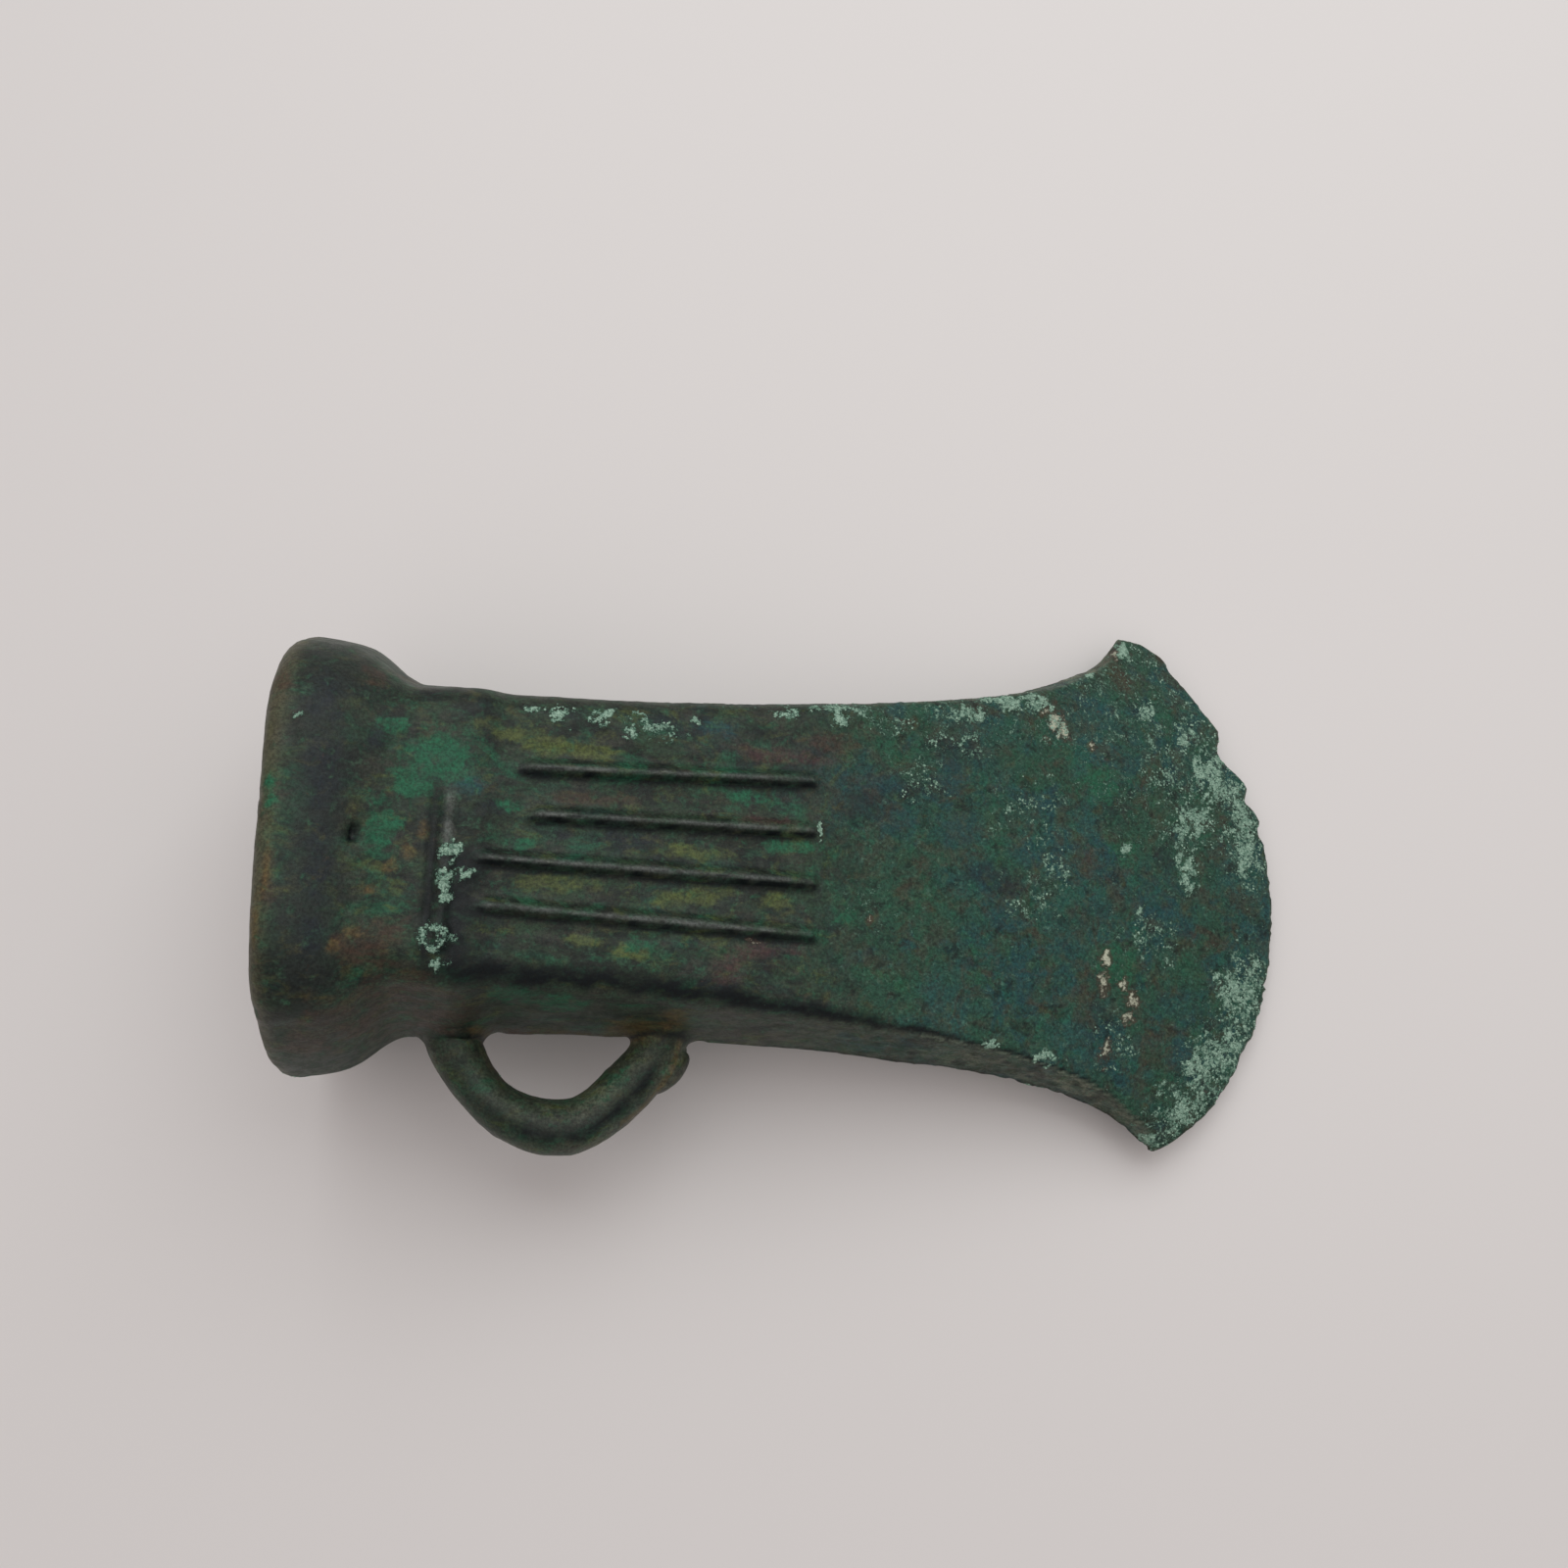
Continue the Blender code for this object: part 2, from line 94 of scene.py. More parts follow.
def addMeshObject(name, points, faces):
    mesh = bpy.data.meshes.new(name)
    mesh.from_pydata(np.asarray(points).tolist(), [], faces)
    mesh.validate()
    return addObject(name, mesh)


def plainMesh(item):      # the mesh as the object's modifiers leave it
    return bpy.data.meshes.new_from_object(item.evaluated_get(bpy.context.evaluated_depsgraph_get()))


def newFinish(name):      # a new material and its shader
    material = bpy.data.materials.new(name)
    material.use_nodes = True
    return material, material.node_tree.nodes["Principled BSDF"]


class Nodes:      # short hand for building one node tree
    def __init__(self, tree):
        self.tree = tree

    def feed(self, node, inputs):      # links a socket, or sets a value
        for key, value in inputs.items():
            if isinstance(value, bpy.types.NodeSocket):
                self.tree.links.new(value, node.inputs[key])
            else:
                node.inputs[key].default_value = value

    def add(self, kind, inputs=None, **settings):
        node = self.tree.nodes.new(kind)
        for name, value in settings.items():
            setattr(node, name, value)
        self.feed(node, inputs or {})
        return node

    def vector(self, operation, first, second):
        slot = "Scale" if operation == "SCALE" else 1
        return self.add("ShaderNodeVectorMath", {0: first, slot: second}, operation=operation).outputs[0]

    def noise(self, place, scale, detail, rough=0.55, shift=0.0, bend=0.0):
        moved = self.vector("ADD", place, (shift, shift * 1.7, -shift))
        inputs = {"Vector": moved, "Scale": scale, "Detail": detail, "Roughness": rough, "Distortion": bend}
        return self.add("ShaderNodeTexNoise", inputs).outputs[0]

    def math(self, operation, first, second=0.0, third=0.0):
        inputs = {0: first, 1: second, 2: third}
        return self.add("ShaderNodeMath", inputs, operation=operation).outputs[0]

    def times(self, first, second):
        return self.math("MULTIPLY", first, second)

    def timesPlus(self, first, second, third):
        return self.math("MULTIPLY_ADD", first, second, third)

    def level(self, value, start, end, low=0.0, high=1.0):
        inputs = {"Value": value, "From Min": start, "From Max": end, "To Min": low, "To Max": high}
        return self.add("ShaderNodeMapRange", inputs, interpolation_type="SMOOTHSTEP").outputs["Result"]

    def blend(self, share, first, second):
        return self.add("ShaderNodeMix", {0: share, 6: first, 7: second}, data_type="RGBA").outputs[2]

    def attribute(self, name):
        if self.tree.type == "GEOMETRY":
            return self.add("GeometryNodeInputNamedAttribute", {"Name": name}, data_type="FLOAT").outputs[0]
        return self.add("ShaderNodeAttribute", attribute_name=name).outputs["Fac"]


# Camera and light
view = {
    "lens": 29.25, "sensor": 36.0,            # mm
    "elevation": 76.0, "azimuth": 0.67,       # degrees
    "target": (-0.00171, 0.01231, 0.0), "distance": 0.14883, "nearest": 0.01,      # m
}

light = {
    "windowSize": (0.40, 0.32),
    "windowPlace": (0.06, 0.22, 0.35),       # m, behind the head and a little to its right
    "windowPower": 0.80,
    "windowColour": (0.94, 1.0, 1.0),
    "skyMiddle": (0.05, 0.12, 0.99),         # where the soft light overhead is brightest
    "skyReach": 0.25,                        # cosine at which it has died out
    "skyBright": 1.05, "skyDim": 0.22,
    "skyColour": (1.0, 0.93, 0.92),
    "floorColour": (0.650, 0.630, 0.620),
    "floorRoughness": 0.8, "floorReach": 3.0,
}


def addCamera():
    data = bpy.data.cameras.new("photo camera")
    data.sensor_fit = "HORIZONTAL"
    data.sensor_width = view["sensor"]
    data.lens = view["lens"]
    data.clip_start = view["nearest"]
    camera = addObject("photo camera", data)
    up, turn = math.radians(view["elevation"]), math.radians(view["azimuth"])
    back = Vector((math.sin(turn) * math.cos(up), -math.cos(turn) * math.cos(up), math.sin(up)))
    camera.location = Vector(view["target"]) + back * view["distance"]
    camera.rotation_euler = back.to_track_quat("Z", "Y").to_euler()
    bpy.context.scene.camera = camera


def addSky():
    world = bpy.data.worlds.new("studio")
    world.use_nodes = True
    nodes = Nodes(world.node_tree)
    direction = nodes.add("ShaderNodeTexCoord").outputs["Generated"]
    facing = nodes.add("ShaderNodeVectorMath", {0: direction, 1: light["skyMiddle"]}, operation="DOT_PRODUCT")
    height = facing.outputs["Value"]
    strength = nodes.level(height, light["skyReach"], 1.0, light["skyDim"], light["skyBright"])
    backdrop = world.node_tree.nodes["Background"]
    nodes.feed(backdrop, {"Color": (*light["skyColour"], 1), "Strength": strength})
    bpy.context.scene.world = world


def addWindow():
    data = bpy.data.lights.new("window", "AREA")
    data.color = light["windowColour"]
    data.shape = "RECTANGLE"
    data.size, data.size_y = light["windowSize"]
    data.energy = light["windowPower"]
    lamp = addObject("window", data)
    lamp.location = light["windowPlace"]
    lamp.rotation_euler = Vector(light["windowPlace"]).to_track_quat("Z", "Y").to_euler()


def addFloor():
    far = light["floorReach"]
    corners = (-far, -far, 0), (far, -far, 0), (far, far, 0), (-far, far, 0)
    floor = addMeshObject("floor", corners, [range(4)])
    paper, shader = newFinish("pale paper")
    shader.inputs["Base Color"].default_value = (*light["floorColour"], 1)
    shader.inputs["Roughness"].default_value = light["floorRoughness"]
    floor.data.materials.append(paper)


addCamera()
addSky()
addWindow()
addFloor()
bpy.context.scene.view_settings.view_transform = "Standard"
print("camera and light ready")


# The axe head's form
axe = {
    "length": 105.0, "bodyWidth": 34.4, "neckThickness": 30.4, "edgeThickness": 0.6,
    "faceSwell": 1.35, "swellLean": 1.3, "wallDraft": math.radians(15),
    "bladeStart": 25.0, "bladeSpread": 6.0, "upperHorn": 29.3, "lowerHorn": 27.7,
    "upperSide": 0.3, "hornSharpness": 11.5, "edgeBow": 16.4,
    "edgeFullness": 0.5, "fullnessRange": (0.2, 0.7), "upperTip": 1.8, "upperTipStart": 0.8,
    "lowerWear": 2.1, "lowerWearStart": 0.9, "bowStart": 50.0,
    "chips": ((15.4, 3.4, 2.0), (10.4, 2.0, 1.0), (6.9, 1.6, 0.6), (-17.7, 2.2, 0.6)),
    "chipReach": 7.0,
    "collarLength": 12.3, "collarSideRise": 4.5, "loopSideRise": 4.1, "collarFaceRise": 1.8,
    "collarFullness": 1.5,
    "collarDraft": math.radians(18), "collarBulge": 0.5, "lipRadius": 2.3,
    "loopSideLip": 0.45, "mouthSlant": 0.035,
    "collarCorner": 12.5, "loopSideCorner": 8.8, "bodyCorner": 3.4, "bladeCorner": 0.6,
    "cornerRoomDown": 0.95, "cornerRoomAcross": 0.8,
    "bandRise": 0.5, "bandEnd": 17.5, "bandFade": 3.5,
    "groovePlace": 14.6, "grooveWidth": 1.2, "grooveDepth": 0.2,
    "crossPlace": 15.9, "crossWidth": 2.0, "crossHeight": 0.35,
    "crossRange": (-13.5, 4.5), "crossFade": 2.0,
    "ribStarts": (18.3, 17.8, 22.2, 21.2), "ribEnd": 51.2, "ribPitch": 4.3, "ribFan": 0.026,
    "ribFlanks": (0.8, 1.3), "ribHeight": 0.8, "ribShift": -0.13, "ribFade": 2.0, "ribRoom": 0.93,
    "socketDepth": 66.0, "sideWall": 2.6, "faceWall": 3.4, "socketFloorWidth": 21.0,
    "socketCorner": 4.5, "socketDraft": math.radians(6), "mouthRound": 0.7,
    "tilt": 9.6282,           # degrees, as the solid rests
}
hornPlace = axe["length"] - axe["edgeBow"]
edgeRadius = (axe["upperHorn"] ** 2 + axe["edgeBow"] ** 2) / (2 * axe["edgeBow"])

fineness = {
    "columns": 149,           # points over one half of a section
    "ribCells": 8, "gapCells": 6,
    "cell": 0.43,             # spacing of the sections along the head
    "insideRows": 24, "rimRows": 6, "lipRows": 9, "mouthTurns": (30, 60, 90),
    "cornerPoints": 21, "wallPoints": 31,
    "atCross": (0.18, 3.0), "atRibEnd": (0.15, 1.6), "atEdge": (0.16, 3.0, 0.5),      # closer sections there
    "halvings": 40, "rounds": 14,      # of the two searches for a place
    "samples": 4000, "weld": 0.001,
    "loopSteps": 96, "loopSides": 44, "stubRows": 18, "stubSides": 24,
}


def collarRise(x, fullness=1.0):
    t = np.clip((x - axe["lipRadius"]) / (axe["collarLength"] - axe["lipRadius"]), 0.0, 1.0)
    return (1 + np.cos(math.pi * t ** fullness)) / 2


def lipLoss(x):
    t = np.clip(1 - x / axe["lipRadius"], 0.0, 1.0)
    return axe["lipRadius"] * (1 - np.sqrt(1 - t * t))


def bandRise(x):
    return axe["bandRise"] * fall(x, axe["bandEnd"], axe["bandEnd"] + axe["bandFade"])


def seamReach(x, horn):      # the casting seam's distance from the middle line
    t = np.maximum(0.0, (x - axe["bladeStart"]) / (hornPlace - axe["bladeStart"]))
    hornSpread = horn - axe["bodyWidth"] / 2 - axe["bladeSpread"]
    body = axe["bodyWidth"] / 2 + axe["bladeSpread"] * t ** 2 + hornSpread * t ** axe["hornSharpness"]
    if horn == axe["upperHorn"]:
        side, rise, lipShare = axe["upperSide"], axe["collarSideRise"], 1.0
    else:
        side, rise, lipShare = 0.0, axe["loopSideRise"], axe["loopSideLip"]
    collar = rise * collarRise(x, axe["collarFullness"]) - lipShare * lipLoss(x)
    return np.minimum(body + side, horn) + collar + bandRise(x)


def edgeDrop(y):
    arc = edgeRadius - np.sqrt(np.maximum(edgeRadius ** 2 - y ** 2, 0.0))
    start, end = (share * axe["lowerHorn"] for share in axe["fullnessRange"])
    full = axe["edgeFullness"] * ease(np.abs(y), start, end)
    full = full + axe["upperTip"] * ease(y, axe["upperTipStart"] * axe["upperHorn"], axe["upperHorn"])
    worn = axe["lowerWear"] * ease(-y, axe["lowerWearStart"] * axe["lowerHorn"], axe["lowerHorn"])
    return arc - full + worn


def bowShare(s):
    return ease(s, axe["bowStart"], axe["length"])


def sectionReach(s, side):      # where the bowed section meets the seam, by halving
    horn = axe["upperHorn"] if side > 0 else axe["lowerHorn"]
    low, high = 0.0, edgeRadius
    for _ in range(fineness["halvings"]):
        middle = (low + high) / 2
        if middle < seamReach(s - bowShare(s) * edgeDrop(side * middle), horn):
            low = middle
        else:
            high = middle
    return low


def faceHeight(s):
    t = (s - axe["collarLength"]) / (axe["length"] - axe["collarLength"])
    wedge = axe["neckThickness"] / 2 + (axe["edgeThickness"] - axe["neckThickness"]) / 2 * t
    swell = axe["faceSwell"] * np.sin(math.pi * np.clip(t, 0.0, 1.0) ** axe["swellLean"])
    return wedge + swell + axe["collarFaceRise"] * collarRise(s) - lipLoss(s) + bandRise(s)


def draftAt(s):
    more = axe["wallDraft"] - axe["collarDraft"]
    return axe["collarDraft"] + more * ease(s, axe["lipRadius"], axe["bladeStart"])


def cornerAt(s, side):
    collar = axe["collarCorner"] if side > 0 else axe["loopSideCorner"]
    body = collar + (axe["bodyCorner"] - collar) * ease(s, axe["lipRadius"], axe["groovePlace"])
    return body + (axe["bladeCorner"] - body) * ease(s, axe["bladeStart"], hornPlace)


def ribLines(s):
    count = len(axe["ribStarts"])
    pitch = axe["ribPitch"] + axe["ribFan"] * np.maximum(0.0, s - axe["ribStarts"][0])
    return [axe["ribShift"] + (k - (count - 1) / 2) * pitch for k in range(count)]


def ribRise(s, y, breadth=1.0):      # 0..1 along the ribs; breadth widens both flanks
    steep, gentle = axe["ribFlanks"]
    fadeOut = axe["ribEnd"] - axe["ribFade"] / 2
    rise = 0.0
    for start, line in zip(axe["ribStarts"], ribLines(s)):
        along = ease(s, start, start + axe["ribFade"]) * fall(s, fadeOut, axe["ribEnd"])
        rise = rise + along * hump(y - line, breadth * np.where(y < line, steep, gentle))
    return rise


def crossShare(y):      # where the cross rib and its groove lie
    low, high = axe["crossRange"]
    return ease(y, low, low + axe["crossFade"]) * fall(y, high - axe["crossFade"], high)


def sectionLine(reaches, height, draft, corners, bulge):
    turn = math.pi / 2 - draft
    foldBack, slope = height * math.tan(draft), height / math.cos(draft)
    halves = []
    for side, reach, corner in zip((-1, 1), reaches, corners):
        roomy = min(axe["cornerRoomDown"] * slope, axe["cornerRoomAcross"] * (reach - foldBack))
        tangent = min(corner * math.tan(turn / 2), roomy)
        radius = tangent / math.tan(turn / 2)
        angle = np.linspace(0, turn, fineness["cornerPoints"])
        y = reach - foldBack - tangent + radius * np.sin(angle)
        z = height - radius * (1 - np.cos(angle))
        share = np.linspace(0, 1, fineness["wallPoints"])[1:]
        out = share + bulge * share * (1 - share)
        y = np.concatenate([y, y[-1] + (reach - y[-1]) * out])
        z = np.concatenate([z, z[-1] * (1 - share)])
        halves.append((side * y, z))
    (lowY, lowZ), (highY, highZ) = halves
    y, z = np.concatenate([lowY[::-1], highY]), np.concatenate([lowZ[::-1], highZ])
    run = np.concatenate([[0], np.cumsum(np.hypot(np.diff(y), np.diff(z)))])
    return y, z, run, len(lowY) - 1


def columnRuns(s, y, run, flatStart):      # columns even on collar and blade, on the ribs between
    columns = fineness["columns"]
    even = np.linspace(0, run[-1], columns)
    share = max(ease(s, axe["ribEnd"], hornPlace), fall(s, axe["lipRadius"], axe["collarLength"]))
    if share == 1:
        return even
    lines = ribLines(s)
    steep, gentle = axe["ribFlanks"]
    edges = [edge for line in lines for edge in (line - steep, line + gentle)]
    squeeze = min(1.0, axe["ribRoom"] * min(-y[flatStart], y[flatStart + 1]) / max(-edges[0], edges[-1]))
    marks = [run[flatStart] + squeeze * edge - y[flatStart] for edge in edges]
    cells = [fineness["ribCells"] if k % 2 == 0 else fineness["gapCells"] for k in range(len(edges) - 1)]
    spare = columns - 1 - sum(cells)
    places = [0, spare // 2]
    for cell in cells:
        places.append(places[-1] + cell)
    places.append(columns - 1)
    fitted = np.interp(np.arange(columns), places, [0, *marks, run[-1]])
    return fitted * (1 - share) + even * share


def mirrored(upper):      # closes a half section under the seam plane
    lower = upper[-2:0:-1] * np.array([1, 1, -1])
    return np.concatenate([upper, lower])


def slant(x, y):
    return -axe["mouthSlant"] * y * fall(x, 0.0, axe["collarLength"])


edgeWear = {      # finer damage along the cutting edge than the solid carries
    "raggedDepth": 0.32, "raggedNoise": (0.55, 3, 4), "raggedMiddle": 0.35,      # scale, octaves, seed
    "nickDepth": 0.22, "nickNoise": (1.7, 2, 5), "nickSwing": 1.6,
    "reach": 1.6,
}


def edgeLoss(y, s):
    chips = sum(depth * hump(y - place, half) for place, half, depth in axe["chips"])
    line = np.stack([y, np.zeros_like(y), np.zeros_like(y)], axis=1)
    ragged = np.clip(edgeWear["raggedMiddle"] + roughness3d(line, *edgeWear["raggedNoise"]), 0, 1)
    nicks = np.clip(roughness3d(line, *edgeWear["nickNoise"]) * edgeWear["nickSwing"], 0, 1)
    fine = edgeWear["raggedDepth"] * ragged + edgeWear["nickDepth"] * nicks
    fine = fine * ease(s, axe["length"] - edgeWear["reach"], axe["length"])
    return chips * ease(s, axe["length"] - axe["chipReach"], axe["length"]) + fine


def outerRing(s):
    reaches = sectionReach(s, -1), sectionReach(s, 1)
    corners = cornerAt(s, -1), cornerAt(s, 1)
    bulge = axe["collarBulge"] * fall(s, axe["lipRadius"], axe["bladeStart"])
    lineY, lineZ, run, flatStart = sectionLine(reaches, faceHeight(s), draftAt(s), corners, bulge)
    runs = columnRuns(s, lineY, run, flatStart)
    y, z = np.interp(runs, run, lineY), np.interp(runs, run, lineZ)
    onFace = (runs >= run[flatStart]) & (runs <= run[flatStart + 1])
    back = edgeLoss(y, s) if s > axe["length"] - axe["chipReach"] else 0 * y
    z = z * faceHeight(s - back) / faceHeight(s)
    z = z + onFace * axe["ribHeight"] * ribRise(s, y)
    cross = axe["crossHeight"] * hump(s - axe["crossPlace"], axe["crossWidth"] / 2)
    cross = cross - axe["grooveDepth"] * hump(s - axe["groovePlace"], axe["grooveWidth"] / 2)
    z = z + onFace * crossShare(y) * cross
    x = s - back - bowShare(s) * edgeDrop(y) + slant(s, y)
    return mirrored(np.stack([x, y, z], axis=1))


def socketSize(x):
    t = (x - axe["collarLength"]) / (axe["socketDepth"] - axe["collarLength"])
    neckWidth = axe["bodyWidth"] / 2 - axe["sideWall"]
    neckHeight = faceHeight(axe["collarLength"]) - bandRise(axe["collarLength"]) - axe["faceWall"]
    floorHeight = faceHeight(axe["socketDepth"]) - axe["faceWall"]
    width = neckWidth + (axe["socketFloorWidth"] / 2 - neckWidth) * t
    return width, neckHeight + (floorHeight - neckHeight) * t


def innerRing(x, widen):
    width, height = (size + widen for size in socketSize(x))
    corners = axe["socketCorner"], axe["socketCorner"]
    lineY, lineZ, run, _ = sectionLine((width, width), height, axe["socketDraft"], corners, 0.0)
    runs = np.linspace(0, run[-1], fineness["columns"])
    y, z = np.interp(runs, run, lineY), np.interp(runs, run, lineZ)
    return mirrored(np.stack([x + slant(x, y), y, z], axis=1))


def sectionPlaces():      # closer together at the lip, the groove, the ribs' ends and the edge
    lip = axe["lipRadius"] * (1 - np.cos(np.radians(np.linspace(0, 90, fineness["lipRows"]))))
    s = np.linspace(axe["lipRadius"], axe["length"], fineness["samples"])
    spacing = fineness["cell"]
    for place, (closer, half) in (("crossPlace", fineness["atCross"]), ("ribEnd", fineness["atRibEnd"])):
        spacing = spacing - closer * hump(s - axe[place], half)
    closer, start, end = fineness["atEdge"]
    spacing = spacing - closer * ease(s, axe["length"] - start, axe["length"] - end)
    steps = np.concatenate([[0], np.cumsum((1 / spacing[1:] + 1 / spacing[:-1]) / 2 * np.diff(s))])
    even = np.linspace(0, steps[-1], int(steps[-1]) + 1)
    return np.concatenate([lip[:-1], np.interp(even, steps, s)])


def gridFaces(rows, count):
    k = np.arange(count)
    first = (np.arange(rows - 1) * count)[:, None]
    a, b = first + k, first + (k + 1) % count
    return np.stack([a, a + count, b + count, b], axis=-1).reshape(-1, 4).tolist()


def bodyMesh():
    radius = axe["mouthRound"]
    rings = [innerRing(x, 0.0) for x in np.linspace(axe["socketDepth"], radius, fineness["insideRows"])]
    for turn in np.radians(fineness["mouthTurns"]):
        rings.append(innerRing(radius * (1 - math.sin(turn)), radius * (1 - math.cos(turn))))
    outer = [outerRing(s) for s in sectionPlaces()]
    mouth = rings[-1]
    for share in np.linspace(0, 1, fineness["rimRows"] + 1)[1:-1]:
        rings.append(mouth * (1 - share) + outer[0] * share)
    rings += outer
    count = len(rings[0])
    faces = gridFaces(len(rings), count)
    for first, flip in ((0, False), ((len(rings) - 1) * count, True)):
        for k in range(count // 2):
            across = [k, k + 1, count - k - 1, (count - k) % count]
            face = list(dict.fromkeys(first + i for i in across))
            faces.append(face[::-1] if flip else face)
    return np.concatenate(rings), faces


loop = {
    "place": 27.2, "radius": 10.3, "reach": 9.0, "bar": 5.3, "breadth": 5.8,
    "root": 1.14, "rootStart": 0.74, "flat": 1.2, "slim": 0.8, "lean": 0.6, "sink": 1.1,
    "stubSize": (1.6, 2.9, 2.3), "stubTurn": math.radians(45), "stubStand": 3.2,
    "filletReach": 1.7, "filletCore": 0.3, "filletRounds": 40, "filletStep": 0.6,
    "filletAlong": (10, 46), "filletOut": 14,      # softened only between these x, and beyond this y
}


def wallPlace(x, z):      # the side wall's distance from the middle line, on the loop's side
    return seamReach(x, axe["lowerHorn"]) - np.abs(z) * np.tan(draftAt(x))


loopMiddleY = -(wallPlace(loop["place"], 0.0) + loop["reach"] - loop["radius"])


def loopMesh():
    steps, sides = fineness["loopSteps"], fineness["loopSides"]
    opening = math.acos(min(1.0, (loop["radius"] - loop["reach"] - loop["sink"]) / loop["radius"]))
    turn = 2 * math.pi * np.arange(sides) / sides
    rings = []
    for k in range(steps + 1):
        angle = opening * (2 * k / steps - 1)
        grow = 1 + (loop["root"] - 1) * ease(abs(angle), loop["rootStart"] * opening, opening)
        onSide = hump(abs(angle) - opening / 2, opening / 2)
        radius = loop["radius"] - (loop["flat"] * onSide if angle > 0 else 0)
        bar = loop["bar"] - (loop["slim"] * onSide if angle < 0 else 0)
        lean = loop["lean"] * ease(abs(angle), opening / 2, opening)
        along = radius + grow * bar / 2 * np.cos(turn)
        z = grow * loop["breadth"] / 2 * np.sin(turn)
        x = loop["place"] + along * math.sin(angle) - lean
        y = loopMiddleY - along * math.cos(angle)
        if k in (0, steps):
            y = -(wallPlace(x, z) - loop["sink"])
        rings.append(np.stack([x, y, z], axis=1))
    faces = gridFaces(steps + 1, sides)
    faces.append(list(range(sides)))
    faces.append([steps * sides + i for i in range(sides)][::-1])
    return np.concatenate(rings), faces


def stubMesh():
    wide, long, tall = loop["stubSize"]
    rows, sides = fineness["stubRows"], fineness["stubSides"]
    middleX = loop["place"] + loop["radius"]
    middleY = -(wallPlace(middleX, 0.0) + loop["stubStand"])
    sine, cosine = math.sin(loop["stubTurn"]), math.cos(loop["stubTurn"])
    turn = 2 * math.pi * np.arange(sides) / sides
    rings = []
    for row in range(rows + 1):
        tip = math.pi * row / rows
        along, across = -long * math.cos(tip), wide * math.sin(tip) * np.cos(turn)
        x = middleX + along * sine + across * cosine
        y = middleY + along * cosine - across * sine
        rings.append(np.stack([x, y, tall * math.sin(tip) * np.sin(turn)], axis=1))
    return np.concatenate(rings), gridFaces(rows + 1, sides)


def weldTwins(item, distance):
    work = bmesh.new()
    work.from_mesh(item.data)
    bmesh.ops.remove_doubles(work, verts=work.verts, dist=distance)
    bmesh.ops.recalc_face_normals(work, faces=work.faces)
    work.to_mesh(item.data)
    work.free()


def castOn(body, other):      # joins the second shape to the first and deletes it
    union = body.modifiers.new("cast on", "BOOLEAN")
    union.operation = "UNION"
    union.solver = "MANIFOLD"
    union.object = other
    joined = plainMesh(body)
    body.modifiers.remove(union)
    body.data = joined
    bpy.data.objects.remove(other)


axeHead = addMeshObject("axeHead", *bodyMesh())
print("body", len(axeHead.data.polygons), "faces")
loopBar = addMeshObject("loopBar", *loopMesh())
castOn(axeHead, loopBar)
stub = addMeshObject("stub", *stubMesh())
weldTwins(stub, fineness["weld"])
castOn(axeHead, stub)
print("loop and stub cast on", len(axeHead.data.polygons), "faces")


# Surface relief, stains, and painted light and shade, on the joined casting
relief = {
    "waveHeight": 0.10, "waveNoise": (0.13, 2, 3),             # slow unevenness: scale, octaves, seed
    "castHeight": 0.035, "castNoise": (0.75, 4, 4),            # skin of the socket
    "corrodedHeight": 0.085, "corrodedNoise": (0.95, 4, 5),    # skin of the blade
    "pitDepth": 0.16, "pitScale": 0.62, "pitRadius": 0.42, "pitShare": 0.30, "pitSeed": 11,
    "pitPick": 3.7, "pitsOnSocket": 0.25,
    "crustHeight": 0.22, "crustPatchy": (0.5, 1.0),
    "seamBand": (0.08, 0.0, 0.55), "seamStart": (14, 20), "seamEnd": (84, 92),
    "seamNoise": (0.21, 4, 9), "seamPatchy": (0.4, 1.2),
    "gapHollow": 0.16, "gapStart": (20, 24), "gapEnd": (46, 51), "gapHalf": 9, "gapRibs": 2.2,
    "endBand": (0.12, 0.2, 0.5), "endReach": 11, "endPatchy": (0.6, 1.0),      # step where the ribs end
    "slit": (8.1, -1.0, 0.55, 1.00, 0.80),             # open casting pit: x, y, half sizes, depth
    "slitEdge": (0.5, 1.1),
    "ring": (15.2, -9.7, 0.95, 1.00, 0.40),            # ring of crust: x, y, radius, half width, height
    "ringSway": 0.3, "ringCrust": 0.8,
    "nick": (9.6, 17.6, 3.0, 1.5, 0.5),                # knock in the collar's back: x, y, z, radius, depth
    "insideShare": 0.5,
    "nudges": (                                        # x, y, radius, push in x and y
        (0.8, -20.0, 3.6, -0.35, -0.10), (5.5, -21.5, 5.0, 0.0, 0.30), (11.5, 21.0, 6.0, 0.0, -0.60),
        (4.0, 22.5, 5.0, 0.0, -0.35), (85.5, 26.5, 5.0, 0.0, -0.60), (17.0, -17.5, 4.5, 0.0, -0.65),
        (90.0, -27.0, 5.0, 0.20, -0.40), (101.5, 8.5, 4.5, 0.50, 0.0), (19.0, 19.0, 4.0, 0.0, 0.25),
        (91.2, 29.0, 2.8, 0.0, -0.50),
    ),
}

